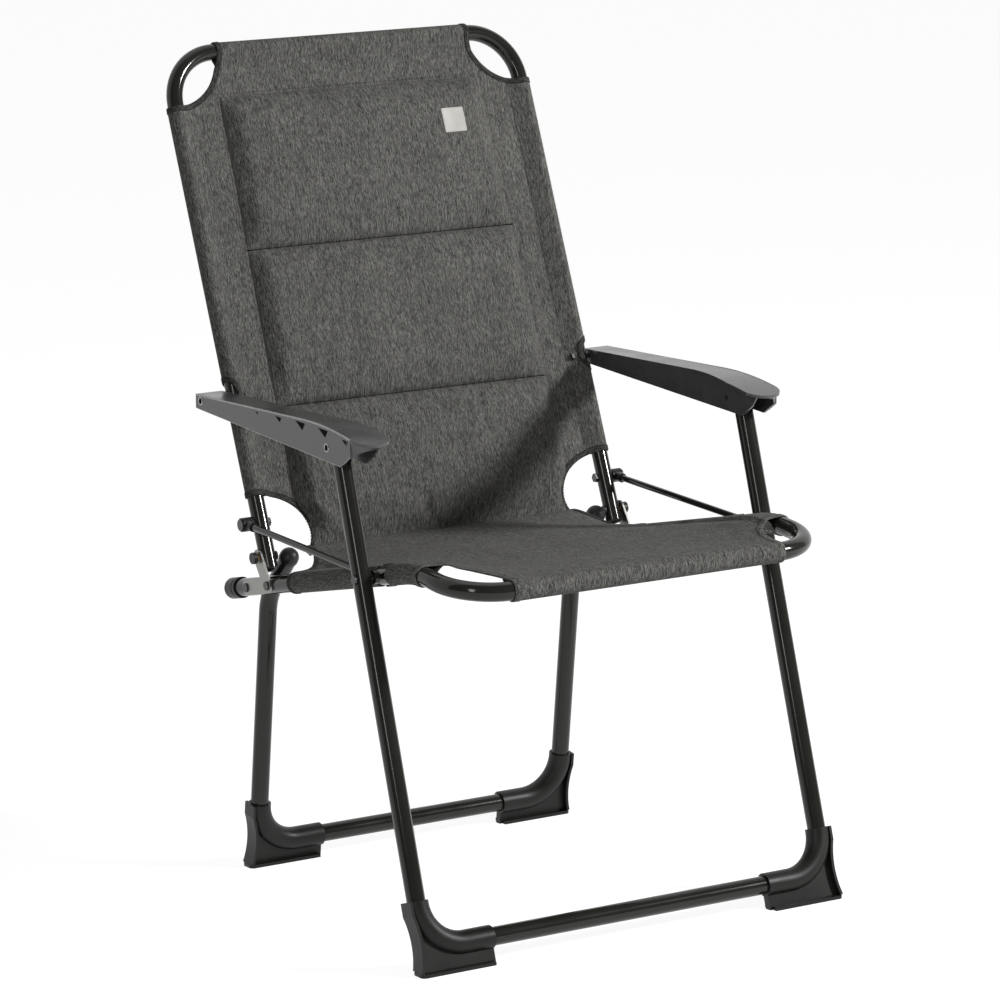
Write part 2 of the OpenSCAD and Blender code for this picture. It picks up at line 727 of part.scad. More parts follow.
module seat_cover() {
    r = seat_d / 2 + wrap;
    front = seat_sleeve_front - seat_drop_start;
    rear_corner = leg_pivot + seat_crotch[0] * seat_back;
    color(fabric) difference() {
        union() {
            on_seat(sheet_in - seat_x) linear_extrude(2 * (seat_x - sheet_in)) seat_strip_outline();
            both() on_seat(seat_x) {
                translate([seam - seat_drop_start, 0]) rotate([0, 90, 0])
                    cylinder(h = seat_drop_start + seat_sleeve_rear - seam, r = r);
                translate([-seat_drop_start, -seat_drop_r]) rotate(90)
                    elbow(seat_drop_r, r, front / seat_drop_r * 180 / PI);
            }
            on_nose() translate([-seat_x + seat_scallop_r, 0, 0]) rotate([0, 90, 0])
                cylinder(h = 2 * (seat_x - seat_scallop_r), r = r);
        }
        seat_bars(seat_d / 2 + cloth_play, 20);
        both() {
            // cut-outs at the front and rear corners and the gap at the front leg pivot
            translate([seat_x, seat_bar[0], seat_bar[1] - 60]) cylinder(h = 120, r = seat_scallop_r);
            translate([seat_x, rear_corner[0], rear_corner[1] - 60]) cylinder(h = 120, r = low_scallop_r);
            on_seat(seat_x - r - 3) translate([-seat_sleeve_gap, -20, 0])
                cube([2 * seat_sleeve_gap, 40, 2 * r + 6]);
        }
    }
}

// ---- Back ----

// The back's own frame: x across, z up along the tubes from the strut pivot, -y out of its face
module on_back() {
    translate([0, back_foot[0], back_foot[1]]) rotate([-back_lean, 0, 0]) children();
}

module back_bars(r, ext = 0) {
    translate([0, 0, back_rise]) mirror([0, 0, 1])
        u_bar(back_x, back_rise + back_tail + ext, back_corner_r, r);
}

module back_frame() {
    color(steel) difference() {
        on_back() difference() {
            back_bars(back_d / 2);
            back_bars(back_d / 2 - tube_wall, cut);
        }
        bolt_holes(strut_pivot, back_in - cut, back_out + cut);
        bolt_holes(lock_point, back_in - cut, back_out + cut);
        bolt_holes(arm_rear_pivot, back_in - cut, back_out + cut, arm_bolt_play);
    }
}

module back_tube_plugs() {
    r = back_d / 2;
    stem = r - tube_wall - cloth_play;
    color(plastic) on_back() both() translate([back_x, 0, -back_tail]) mirror([0, 0, 1])
        rotate_extrude() polygon([[0, -5], [stem, -5], [stem, 0], [r, 0], [r - 0.5, 2], [r - 2.5, 4], [0, 5]]);
}

module back_pivot_bolts() {
    color(zinc) both() bolt(strut_pivot, back_in - nut_t, back_out + side_gap + end_w + head_t, strut_head_d);
}

// Studs on the back's lower ends that drop into the lock plates
module lock_studs() {
    color(plastic) both() {
        cross_pin(lock_point, back_in - head_t, back_out + bush_past + plate_t + cut, bolt_d / 2);
        cross_pin(lock_point, back_in - head_t, back_in, head_d / 2);
        cross_pin(lock_point, back_out + bush_past + plate_t, back_out + bush_past + plate_t + knob_t, knob_r);
    }
}

module lock_bushes() {
    color("#b08d4a") both() difference() {
        cross_pin(lock_point, back_out, back_out + bush_past + plate_t, bush_d / 2);
        cross_pin(lock_point, back_out - cut, back_out + bush_past + plate_t + cut, bolt_d / 2 + bolt_play);
    }
}

module back_cover() {
    r = back_d / 2 + wrap;
    bore = back_d / 2 + cloth_play;
    color(fabric) on_back() difference() {
        union() {
            translate([-back_x, -cloth_t / 2, -back_hem]) cube([2 * back_x, cloth_t, back_rise + back_hem]);
            both() translate([back_x, 0, sleeve_foot]) cylinder(h = back_rise - top_scallop_r - sleeve_foot, r = r);
            translate([top_scallop_r - back_x - 4, 0, back_rise]) rotate([0, 90, 0])
                cylinder(h = 2 * (back_x - top_scallop_r + 4), r = r);
        }
        back_bars(bore, 20);
        both() {
            translate([back_x, 0, back_rise]) rotate([90, 0, 0])
                cylinder(h = 8 * cloth_t, r = top_scallop_r, center = true);
            translate([back_x, 0, sleeve_foot - low_scallop_r]) rotate([90, 0, 0])
                cylinder(h = 8 * cloth_t, r = low_scallop_r, center = true);
            translate([back_x - r + 6, 0, pivot_gap]) rotate([90, 0, 0])
                cylinder(h = 4 * r, r = arm_scallop, center = true);
        }
        pad_window(pad_seam_1, pad_top, pad_half_w);
        pad_window(pad_seam_2, pad_seam_1, pad_half_w);
        pad_window(pad_foot, pad_seam_2, pad_foot_half_w);
    }
}

// Plate with round corners in the XZ plane, from y = -t to y = 0
module round_plate(w, h, t, r) {
    rotate([90, 0, 0]) {
        translate([-w / 2, r - h / 2, 0]) cube([w, h - 2 * r, t]);
        translate([r - w / 2, -h / 2, 0]) cube([w - 2 * r, h, t]);
        for (x = [r - w / 2, w / 2 - r], z = [r - h / 2, h / 2 - r])
            translate([x, z, 0]) cylinder(h = t, r = r);
    }
}

// Section of a pad, thin at its seams and full between them
module pad_section(len, depth) {
    edge = 3;
    steps = 12;
    crown = [for (i = [0:steps]) let (t = 2 * i / steps - 1)
        [t * len / 2, edge + (depth - edge) * (1 - pow(t, 4))]];
    polygon(concat([[len / 2, 0], [-len / 2, 0]], crown));
}

// Room that a pad between two seams has in the back's plane: [width, height]
function pad_room(z1, z2, half_w) = [2 * half_w, z2 - z1 - pad_seam_w];

// Pad between two seams, full on both faces
module back_pad(z1, z2, half_w) {
    room = pad_room(z1, z2, half_w);
    module face(depth) {
        intersection() {
            round_plate(room[0], room[1], depth + cut, pad_corner_r);
            rotate([0, -90, 180]) linear_extrude(room[0] + 2 * cut, center = true)
                pad_section(room[1], depth);
            linear_extrude(room[1] + 2 * cut, center = true) rotate(180) pad_section(room[0], depth);
        }
    }
    color(fabric) on_back() translate([0, 0, (z1 + z2) / 2]) {
        face(pad_front);
        mirror([0, 1, 0]) face(pad_rear);
    }
}

// Window for that pad in the fabric
module pad_window(z1, z2, half_w) {
    room = pad_room(z1, z2, half_w);
    play = cloth_play;
    translate([0, cloth_t, (z1 + z2) / 2])
        round_plate(room[0] + 2 * play, room[1] + 2 * play, 2 * cloth_t, pad_corner_r + play);
}

module back_pad_top() {
    back_pad(pad_seam_1, pad_top, pad_half_w);
}

module back_pad_middle() {
    back_pad(pad_seam_2, pad_seam_1, pad_half_w);
}

module back_pad_bottom() {
    back_pad(pad_foot, pad_seam_2, pad_foot_half_w);
}

// ---- Rear legs ----

module rear_bars(r, ext = 0) {
    len = norm(rear_bend_end - rear_foot);
    // each length of tube ends just short of its bend
    module on_leg(x) {
        side(x) translate(rear_foot) rotate(90 + rear_lean) children();
    }
    on_leg(0) rotate([0, 90, 0]) u_bar(rear_x, len - seam, rear_corner_r, r);
    both() on_leg(rear_x) translate([len, rear_bend_r]) {
        rotate(-90) elbow(rear_bend_r, r, rear_bend);
        rotate(rear_bend) translate([seam, -rear_bend_r]) rotate([0, 90, 0])
            cylinder(h = rear_neck + rear_head + ext - seam, r = r);
    }
}

module rear_leg_frame() {
    color(steel) difference() {
        rear_bars(rear_d / 2);
        rear_bars(rear_d / 2 - tube_wall, cut);
        bolt_holes(rear_pivot, rear_x - rear_d, rear_x + rear_d);
    }
}

// Domed plugs in the upper ends of the rear legs
module rear_leg_plugs() {
    r = rear_d / 2 + 1;
    stem = rear_d / 2 - tube_wall - cloth_play;
    color(plastic) both() side(rear_x) translate(rear_top) rotate(rear_neck_a) rotate([0, 90, 0])
        rotate_extrude() {
            translate([0, -8]) square([stem, 8 + cut]);
            square([r, 3]);
            intersection() {
                translate([0, 3]) circle(r = r);
                translate([0, 3]) square([r, r]);
            }
        }
}

module rear_foot_right() {
    color(plastic) corner_foot(rear_foot, 90 + rear_lean, rear_x, rear_corner_r, rear_d);
}

module rear_foot_left() {
    mirror([1, 0, 0]) rear_foot_right();
}

front_leg_frame();
leg_top_plugs();
front_foot_left();
front_foot_right();
seat_pivot_bolts();
arm_front_bolts();
armrest_left();
armrest_right();
arm_rear_bolts();
strut_left();
strut_right();
strut_ends();
seat_frame();
seat_end_caps();
lock_plate_left();
lock_plate_right();
lock_plate_bolts();
rear_pivot_bolts();
rear_pivot_spacers();
seat_pivot_saddles();
seat_cover();
back_frame();
back_tube_plugs();
back_pivot_bolts();
lock_studs();
lock_bushes();
back_cover();
back_pad_top();
back_pad_middle();
back_pad_bottom();
rear_leg_frame();
rear_leg_plugs();
rear_foot_left();
rear_foot_right();
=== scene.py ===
"""Folding armchair with a padded high back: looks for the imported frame.

Lengths are in metres. The chair faces -Y and its left half mirrors its right half.
Fabric is laid out flat first: u runs across the chair and v along the streaks of the weave.
"""
import math

import bmesh
import bpy
from mathutils import Matrix, Vector
from mathutils.bvhtree import BVHTree
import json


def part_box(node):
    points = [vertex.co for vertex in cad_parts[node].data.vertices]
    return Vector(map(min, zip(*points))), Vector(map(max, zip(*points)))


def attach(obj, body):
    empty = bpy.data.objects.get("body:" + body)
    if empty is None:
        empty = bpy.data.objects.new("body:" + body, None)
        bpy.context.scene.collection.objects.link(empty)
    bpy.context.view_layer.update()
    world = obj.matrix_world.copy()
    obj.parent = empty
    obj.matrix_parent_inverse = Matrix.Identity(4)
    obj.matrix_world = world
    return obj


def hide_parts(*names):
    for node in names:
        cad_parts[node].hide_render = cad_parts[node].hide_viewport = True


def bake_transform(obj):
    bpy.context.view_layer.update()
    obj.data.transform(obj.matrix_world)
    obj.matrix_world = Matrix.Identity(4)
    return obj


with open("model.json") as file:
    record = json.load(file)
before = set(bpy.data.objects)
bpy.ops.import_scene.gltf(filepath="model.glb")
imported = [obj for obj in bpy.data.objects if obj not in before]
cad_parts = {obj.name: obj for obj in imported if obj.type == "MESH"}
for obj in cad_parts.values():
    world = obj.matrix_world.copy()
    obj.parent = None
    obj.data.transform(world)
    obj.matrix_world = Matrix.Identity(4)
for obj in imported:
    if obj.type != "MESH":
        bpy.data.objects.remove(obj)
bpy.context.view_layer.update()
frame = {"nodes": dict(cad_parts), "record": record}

MM = 0.001

# ---- Places and directions taken from the frame ----

PIVOT = {j["name"]: Vector(j["pos_m"]) for j in frame["record"]["behaviour"]["joints"]}
BACK_LEAN = math.radians(21.2)
SEAT_RISE = math.radians(12.1)
TUBE_X = 242.95 * MM
BACK_R = 10 * MM
SEAT_R = 11 * MM
CLOTH_T = 1.3 * MM
AIR = 0.15 * MM
ACROSS = Vector((1, 0, 0))


def side_dir(angle):
    """Direction in the side plane at an angle above the rearward horizontal."""
    return Vector((0, math.cos(angle), math.sin(angle)))


# the back: S up along the tubes, N out of its front; the origin lies on the tube's axis
BACK_S = Vector((0, math.sin(BACK_LEAN), math.cos(BACK_LEAN)))
BACK_N = Vector((0, -math.cos(BACK_LEAN), math.sin(BACK_LEAN)))
BACK_O = PIVOT["back_fold"] + 2.956 * MM * BACK_N
BACK_TOP = 581 * MM

# the seat: D back along the tubes, N up; the origin lies at the front leg's pivot
SEAT_D = side_dir(-SEAT_RISE)
SEAT_N = side_dir(math.pi / 2 - SEAT_RISE)
SEAT_O = PIVOT["seat_fold"]
# in front of that pivot the tubes bend down: where the bend starts, its radius and angle, and
# the straight end's length
DROP_START, DROP_R, DROP_A, NOSE_AT = 40 * MM, 200 * MM, math.radians(19), 65 * MM


# ---- Small helpers ----

def smooth(a, b, x):
    """0 below a, 1 above b, and an even curve between them."""
    t = min(max((x - a) / (b - a), 0.0), 1.0)
    return t * t * (3 - 2 * t)


def shade_soft(mesh):
    mesh.polygons.foreach_set("use_smooth", [True] * len(mesh.polygons))


def make_object(name, verts, faces, uvs=None):
    mesh = bpy.data.meshes.new(name)
    mesh.from_pydata(verts, [], faces)
    mesh.update()
    obj = bpy.data.objects.new(name, mesh)
    bpy.context.scene.collection.objects.link(obj)
    if uvs:
        layer = mesh.uv_layers.new(name="cloth")
        for loop in mesh.loops:
            layer.data[loop.index].uv = uvs[loop.vertex_index]
    shade_soft(mesh)
    return obj


def apply_modifiers(obj):
    bpy.ops.object.select_all(action="DESELECT")
    obj.select_set(True)
    bpy.context.view_layer.objects.active = obj
    for m in list(obj.modifiers):
        bpy.ops.object.modifier_apply(modifier=m.name)


def set_material(obj, mat):
    obj.data.materials.clear()
    obj.data.materials.append(mat)


# ---- Materials ----

def new_material(name):
    mat = bpy.data.materials.new(name)
    mat.use_nodes = True
    tree = mat.node_tree
    tree.nodes.clear()
    out = tree.nodes.new("ShaderNodeOutputMaterial")
    bsdf = tree.nodes.new("ShaderNodeBsdfPrincipled")
    tree.links.new(bsdf.outputs[0], out.inputs[0])
    return mat, tree, bsdf


def feed(tree, n, inputs):
    """Set a node's inputs to values, or join them to the sockets of other nodes."""
    for key, value in inputs.items():
        if isinstance(value, bpy.types.NodeSocket):
            tree.links.new(value, n.inputs[key])
        else:
            n.inputs[key].default_value = value


def node(tree, kind, inputs=None, **props):
    n = tree.nodes.new(kind)
    for key, value in props.items():
        setattr(n, key, value)
    feed(tree, n, inputs or {})
    return n


def ramp(tree, fac, stops):
    """Colour ramp over fac; a plain number in its stops stands for a grey."""
    r = node(tree, "ShaderNodeValToRGB", {0: fac})
    while len(r.color_ramp.elements) < len(stops):
        r.color_ramp.elements.new(0.5)
    for e, (pos, col) in zip(r.color_ramp.elements, stops):
        e.position = pos
        e.color = (*col, 1) if isinstance(col, tuple) else (col, col, col, 1)
    return r.outputs[0]


def math_node(tree, op, a, b):
    return node(tree, "ShaderNodeMath", {0: a, 1: b}, operation=op).outputs[0]


def weighted(tree, *parts):
    """Sum of sockets, each times its own weight."""
    total = None
    for socket, weight in parts:
        part = math_node(tree, "MULTIPLY", socket, weight)
        total = part if total is None else math_node(tree, "ADD", total, part)
    return total


def noise(tree, place, scale, detail, rough=0.5):
    return node(tree, "ShaderNodeTexNoise", {"Vector": place, "Scale": scale, "Detail": detail,
                                             "Roughness": rough}).outputs[0]


def bump(tree, height, strength, distance):
    return node(tree, "ShaderNodeBump", {"Height": height, "Strength": strength,
                                         "Distance": distance}).outputs[0]


def object_place(tree):
    return node(tree, "ShaderNodeTexCoord").outputs["Object"]


WEAVE_TONES = [(0.36, (0.017, 0.0167, 0.0155)), (0.45, (0.058, 0.057, 0.053)),
               (0.53, (0.108, 0.1065, 0.0995)), (0.63, (0.200, 0.197, 0.185))]
WEAVE_PITCH = 1.3 * MM


def woven_fabric(name, tint=1.0):
    """Mottled grey weave: thin light and dark threads that run along v."""
    mat, tree, bsdf = new_material(name)
    uv = node(tree, "ShaderNodeUVMap", uv_map="cloth").outputs[0]

    def threads(width, length, detail, shift):
        m = node(tree, "ShaderNodeMapping", {"Vector": uv, "Scale": (1 / width, 1 / length, 1),
                                             "Location": (shift, shift * 0.37, shift * 0.11)})
        return noise(tree, m.outputs[0], 1.0, detail, 0.6)

    fine = threads(0.62 * MM, 5.0 * MM, 1.0, 3.1)
    broad = threads(1.2 * MM, 15 * MM, 1.0, 11.7)
    cross = threads(0.6 * MM, 0.9 * MM, 0.0, 5.3)
    cloud = threads(60 * MM, 90 * MM, 2.0, 1.9)
    mixed = weighted(tree, (fine, 0.56), (broad, 0.24), (cross, 0.20))
    colour = ramp(tree, mixed, [(at, tuple(c * tint for c in tone)) for at, tone in WEAVE_TONES])
    shade = ramp(tree, cloud, [(0.3, 0.9), (0.7, 1.06)])
    mix = node(tree, "ShaderNodeMix", {0: 1.0, 6: colour, 7: shade},
               data_type="RGBA", blend_type="MULTIPLY")
    # the crossing of warp and weft, a little uneven
    weave = node(tree, "ShaderNodeMapping", {"Vector": uv,
                                             "Scale": (1 / WEAVE_PITCH, 1 / WEAVE_PITCH, 1)})
    checks = node(tree, "ShaderNodeTexVoronoi", {"Vector": weave.outputs[0], "Scale": 1.0,
                                                 "Randomness": 0.35}, voronoi_dimensions="2D")
    height = weighted(tree, (checks.outputs[0], -0.5), (mixed, 1.2))
    feed(tree, bsdf, {"Base Color": mix.outputs[2], "Roughness": 0.85, "Specular IOR Level": 0.20,
                      "Sheen Weight": 0.03, "Sheen Roughness": 0.5,
                      "Normal": bump(tree, height, 0.45, 0.35 * MM)})
    return mat


def powder_coat(name):
    """Anthracite powder coat: fine orange peel under a soft gloss."""
    mat, tree, bsdf = new_material(name)
    pos = object_place(tree)
    peel, speck, wear = (noise(tree, pos, *grain)
                         for grain in ((900.0, 2.0), (2600.0, 1.0), (14.0, 4.0)))
    colour = ramp(tree, weighted(tree, (speck, 0.6), (wear, 0.4)),
                  [(0.35, (0.0115, 0.0112, 0.0095)), (0.62, (0.0195, 0.019, 0.0165))])
    feed(tree, bsdf, {"Base Color": colour,
                      "Roughness": ramp(tree, wear, [(0.3, 0.09), (0.7, 0.14)]),
                      "Specular IOR Level": 0.36, "Normal": bump(tree, peel, 0.12, 0.1 * MM)})
    return mat


def moulded_plastic(name, colour=(0.016, 0.0165, 0.018), rough=0.42, shine=0.3):
    """Satin moulded plastic with a fine spark-eroded grain."""
    mat, tree, bsdf = new_material(name)
    pos = object_place(tree)
    pits = node(tree, "ShaderNodeTexVoronoi", {"Vector": pos, "Scale": 1500.0}).outputs[0]
    cloud = noise(tree, pos, 22.0, 3.0)
    dark, light = (tuple(c * share for c in colour) for share in (0.88, 1.14))
    feed(tree, bsdf, {"Base Color": ramp(tree, cloud, [(0.35, dark), (0.65, light)]),
                      "Roughness": ramp(tree, cloud, [(0.35, rough - 0.04), (0.65, rough + 0.05)]),
                      "Specular IOR Level": shine, "Normal": bump(tree, pits, 0.10, 0.15 * MM)})
    return mat


def metal(name, colour, rough):
    """Bare or plated metal with fine level brush marks."""
    mat, tree, bsdf = new_material(name)
    m = node(tree, "ShaderNodeMapping", {"Vector": object_place(tree), "Scale": (60, 60, 1200)})
    brush = noise(tree, m.outputs[0], 1.0, 3.0)
    dark = tuple(c * 0.8 for c in colour)
    feed(tree, bsdf, {"Base Color": ramp(tree, brush, [(0.3, dark), (0.7, colour)]),
                      "Roughness": ramp(tree, brush, [(0.3, rough - 0.06), (0.7, rough + 0.08)]),
                      "Metallic": 1.0, "Normal": bump(tree, brush, 0.1, 0.1 * MM)})
    return mat


FABRIC = woven_fabric("mottled_fabric")
COAT = powder_coat("anthracite_coat")
ARM_PLASTIC = moulded_plastic("armrest_plastic", (0.064, 0.065, 0.065), 0.28, shine=0.6)
# pale plastic for the beads along the armrests' edges: a painted highlight
ARM_HIGHLIGHT = moulded_plastic("armrest_painted_highlight", (0.46, 0.46, 0.45), 0.26, shine=0.6)
PLASTIC = moulded_plastic("fitting_plastic")
FOOT_PLASTIC = moulded_plastic("foot_plastic", (0.0085, 0.0083, 0.0075), 0.42)
TAPE = woven_fabric("binding_tape", 0.40)
THREAD = moulded_plastic("dark_thread", (0.035, 0.035, 0.033), 0.6)
# near-black strip material for the pads' inner seams: painted shade in the folds
SEAM_SHADE = moulded_plastic("painted_seam_shade", (0.008, 0.008, 0.0075), 0.8, shine=0.05)
LABEL = moulded_plastic("label_cloth", (0.52, 0.51, 0.48), 0.75)
LABEL_THREAD = moulded_plastic("label_thread", (0.40, 0.39, 0.37), 0.7)
ZINC = metal("zinc_plate", (0.30, 0.30, 0.285), 0.38)
BRASS = metal("bush_brass", (0.66, 0.48, 0.22), 0.30)
BOLT = metal("black_bolts", (0.09, 0.09, 0.09), 0.35)

NODE_MATERIALS = {
    COAT: ["front_leg_frame", "rear_leg_frame", "seat_frame", "back_frame",
           "strut_left", "strut_right"],
    ARM_PLASTIC: ["armrest_left", "armrest_right"],
    FOOT_PLASTIC: ["front_foot_left", "front_foot_right", "rear_foot_left", "rear_foot_right"],
    PLASTIC: ["leg_top_plugs", "strut_ends", "seat_end_caps", "rear_pivot_spacers",
              "seat_pivot_saddles", "back_tube_plugs", "lock_studs", "rear_leg_plugs"],
    ZINC: ["lock_plate_left", "lock_plate_right"],
    BRASS: ["lock_bushes"],
    BOLT: ["seat_pivot_bolts", "arm_front_bolts", "arm_rear_bolts", "lock_plate_bolts",
           "rear_pivot_bolts", "back_pivot_bolts"],
}
for mat, names in NODE_MATERIALS.items():
    for name in names:
        set_material(frame["nodes"][name], mat)


# ---- Camera, floor and light ----

WHITE = (1, 1, 1, 1)
CAMERA_AZ, CAMERA_EL, CAMERA_ROLL = (math.radians(a) for a in (-31, 11, -1.09))
CAMERA_AIM, CAMERA_FAR = Vector((0.00029, -0.0486, 0.486)), 5.583
LENS, SENSOR, SHIFT_X, SHIFT_Y = 169.4, 36, -0.013, -0.009
FLOOR_SIZE, FLOOR_GLOW = 30, 0.90
# reflected rays whose Incoming y is below BACKDROP_FROM leave rearwards and meet the backdrop
ROOM_LIGHT, BACKDROP_LIGHT, BACKDROP_FROM = 0.185, 1.0, -0.05


def place_camera(scene):
    az, el = CAMERA_AZ, CAMERA_EL
    back = Vector((math.sin(az) * math.cos(el), -math.cos(az) * math.cos(el), math.sin(el)))
    right = (-back).cross(Vector((0, 0, 1))).normalized()
    up = right.cross(-back)
    tilted_right = math.cos(CAMERA_ROLL) * right + math.sin(CAMERA_ROLL) * up
    tilted_up = -math.sin(CAMERA_ROLL) * right + math.cos(CAMERA_ROLL) * up
    cam = bpy.data.objects.new("camera", bpy.data.cameras.new("camera"))
    scene.collection.objects.link(cam)
    m = Matrix((tilted_right, tilted_up, back)).transposed().to_4x4()
    m.translation = CAMERA_AIM + back * CAMERA_FAR
    cam.matrix_world = m
    cam.data.sensor_width = SENSOR
    cam.data.lens = LENS
    cam.data.shift_x = SHIFT_X
    cam.data.shift_y = SHIFT_Y
    scene.camera = cam


def mix_shaders(tree, share, first, second, out):
    """Send first, and second by its share, to a tree's output node."""
    mix = node(tree, "ShaderNodeMixShader", {0: share, 1: first.outputs[0], 2: second.outputs[0]})
    tree.links.new(mix.outputs[0], out.inputs[0])


def lay_floor():
    """Floor that takes the chair's shadow and looks white."""
    bpy.ops.object.select_all(action="DESELECT")
    bpy.ops.mesh.primitive_plane_add(size=FLOOR_SIZE, location=(0, 0, 0))
    floor = bpy.context.object
    floor.name = "floor"
    mat, tree, bsdf = new_material("pale_floor")
    feed(tree, bsdf, {"Base Color": (0.82, 0.82, 0.82, 1), "Roughness": 0.9,
                      "Specular IOR Level": 0.0})
    shaded = node(tree, "ShaderNodeBsdfDiffuse", {0: (0.34, 0.34, 0.34, 1)})
    glow = node(tree, "ShaderNodeEmission", {0: WHITE, 1: FLOOR_GLOW})
    white = node(tree, "ShaderNodeAddShader", {0: shaded.outputs[0], 1: glow.outputs[0]})
    path = node(tree, "ShaderNodeLightPath").outputs
    seen = math_node(tree, "MAXIMUM", path["Is Camera Ray"], path["Is Glossy Ray"])
    mix_shaders(tree, seen, bsdf, white, tree.nodes["Material Output"])
    set_material(floor, mat)


def light_room(scene):
    """Soft light from all round, with a white backdrop for the camera."""
    world = bpy.data.worlds.new("studio")
    scene.world = world
    world.use_nodes = True
    tree = world.node_tree
    tree.nodes.clear()
    out = tree.nodes.new("ShaderNodeOutputWorld")
    path = node(tree, "ShaderNodeLightPath").outputs
    soft = node(tree, "ShaderNodeBackground", {0: WHITE, 1: ROOM_LIGHT})
    seen = node(tree, "ShaderNodeBackground", {0: WHITE, 1: BACKDROP_LIGHT})
    # reflections see the white backdrop behind the chair, and the dimmer room in front of it
    incoming = node(tree, "ShaderNodeNewGeometry").outputs["Incoming"]
    facing = node(tree, "ShaderNodeSeparateXYZ", {0: incoming})
    behind = math_node(tree, "LESS_THAN", facing.outputs[1], BACKDROP_FROM)
    mirrored_white = math_node(tree, "MULTIPLY", path["Is Glossy Ray"], behind)
    share = math_node(tree, "MAXIMUM", path["Is Camera Ray"], mirrored_white)
    mix_shaders(tree, share, soft, seen, out)


def softbox(scene, name, place, aim, size, watts):
    lamp = bpy.data.objects.new(name, bpy.data.lights.new(name, "AREA"))
    lamp.data.shape = "RECTANGLE"
    lamp.data.size, lamp.data.size_y = size
    lamp.data.energy = watts
    lamp.location = place
    lamp.rotation_euler = (Vector(aim) - Vector(place)).to_track_quat("-Z", "Y").to_euler()
    scene.collection.objects.link(lamp)


def studio():
    scene = bpy.context.scene
    place_camera(scene)
    lay_floor()
    light_room(scene)
    softbox(scene, "key_softbox", (2.6, -2.4, 2.15), (0, 0.1, 0.55), (0.42, 0.5), 148)
    softbox(scene, "fill_softbox", (-2.6, -2.4, 1.8), (0, 0, 0.5), (0.5, 1.8), 22)
    softbox(scene, "top_softbox", (0.2, 0.2, 3.2), (0, 0, 0.4), (1.6, 1.2), 3)
    scene.view_settings.view_transform = "Standard"


studio()


# ---- Cloth layout: a flat domain with cut-outs, meshed and wrapped ----

def cut_grid(us, vs, inside):
    """Quads over the grid lines us x vs where inside(u, v) > 0, clipped along its zero line."""
    verts, faces, index = [], [], {}
    value = [[inside(u, v) for v in vs] for u in us]

    def corner(i, j):
        key = ("c", i, j)
        if key not in index:
            index[key] = len(verts)
            verts.append((us[i], vs[j]))
        return index[key]

    def crossing(a, b):
        """Where the zero line cuts the side from a to b, kept off its ends."""
        key = ("e",) + tuple(sorted((a, b)))
        if key not in index:
            (i0, j0), (i1, j1) = sorted((a, b))
            f0, f1 = value[i0][j0], value[i1][j1]
            t = min(max(f0 / (f0 - f1), 0.02), 0.98)
            index[key] = len(verts)
            verts.append((us[i0] + (us[i1] - us[i0]) * t, vs[j0] + (vs[j1] - vs[j0]) * t))
        return index[key]

    for i in range(len(us) - 1):
        for j in range(len(vs) - 1):
            ring = [(i, j), (i + 1, j), (i + 1, j + 1), (i, j + 1)]
            keep = [value[a][b] > 0 for a, b in ring]
            if not any(keep):
                continue
            if all(keep):
                faces.append([corner(*c) for c in ring])
                continue
            face = []
            for k in range(4):
                a, b = ring[k], ring[(k + 1) % 4]
                if keep[k]:
                    face.append(corner(*a))
                if keep[k] != keep[(k + 1) % 4]:
                    face.append(crossing(a, b))
            if len(face) >= 3:
                faces.append(face)
    return verts, faces


def steps(a, b, size):
    """Evenly spaced values from a to b, about size apart."""
    n = max(1, round((b - a) / size))
    return [a + (b - a) * i / n for i in range(n + 1)]


CLOTH_STEP = 4 * MM


def across_steps(end, side):
    """Grid lines across a sling, twice as close past side, where it goes round the tubes."""
    h = CLOTH_STEP
    return steps(-end, -side, h / 2) + steps(-side, side, h)[1:] + steps(side, end, h / 2)[1:]


def cloth_piece(name, us, vs, inside, place, thick):
    """Fabric laid out on a grid, put in place by place(u, v), and given its thickness."""
    flat, faces = cut_grid(us, vs, inside)
    obj = make_object(name, [place(u, v) for u, v in flat], faces, flat)
    bm = bmesh.new()
    bm.from_mesh(obj.data)
    loose = [v for v in bm.verts if not v.link_faces]
    bmesh.ops.delete(bm, geom=loose, context="VERTS")
    bm.to_mesh(obj.data)
    bm.free()
    solid = obj.modifiers.new("thickness", "SOLIDIFY")
    solid.thickness = thick
    solid.offset = 0.0
    solid.use_even_offset = False
    apply_modifiers(obj)
    shade_soft(obj.data)
    set_material(obj, FABRIC)
    return obj


# ---- The back ----

PAD_TOP, SEAM_1, SEAM_2 = 524 * MM, 331 * MM, 136 * MM
PAD_MM = 186             # half the panel's width, taken midway up, in millimetres
PAD_W = PAD_MM * MM
HEM = -44 * MM
SLEEVE = BACK_R + AIR + CLOTH_T / 2
SLEEVE_REAR = 1.6 * MM   # how far behind the sheet the sleeve's end is sewn on


def on_back(x, s, n):
    return BACK_O + ACROSS * x + BACK_S * s + BACK_N * n


def sleeve_path(start, axis, r, rear, t):
    """Point on fabric that runs to a tube, round it and back behind itself.

    start is where the sheet ends, axis the tube's centre line, both measured along the sheet,
    and t the length of fabric used past start. Returns how far along, and how far in front.
    """
    reach = axis - start
    lead = math.hypot(reach, r)
    if t < lead:
        k = t / lead
        return start + reach * k, r * k
    turn = (t - lead) / r
    if turn < math.pi:
        return axis + r * math.sin(turn), r * math.cos(turn)
    k = min((t - lead - math.pi * r) / lead, 1.0)
    return axis - reach * k, -r + (r - rear) * smooth(0, 1, k)


SIDE_START = 222 * MM
LEAD = math.hypot(TUBE_X - SIDE_START, SLEEVE)
WRAP_LEN = 2 * LEAD + math.pi * SLEEVE
U_END = SIDE_START + WRAP_LEN
TOP_START = BACK_TOP - 22 * MM
TOP_LEAD = math.hypot(BACK_TOP - TOP_START, SLEEVE)
V_END = TOP_START + 2 * TOP_LEAD + math.pi * SLEEVE
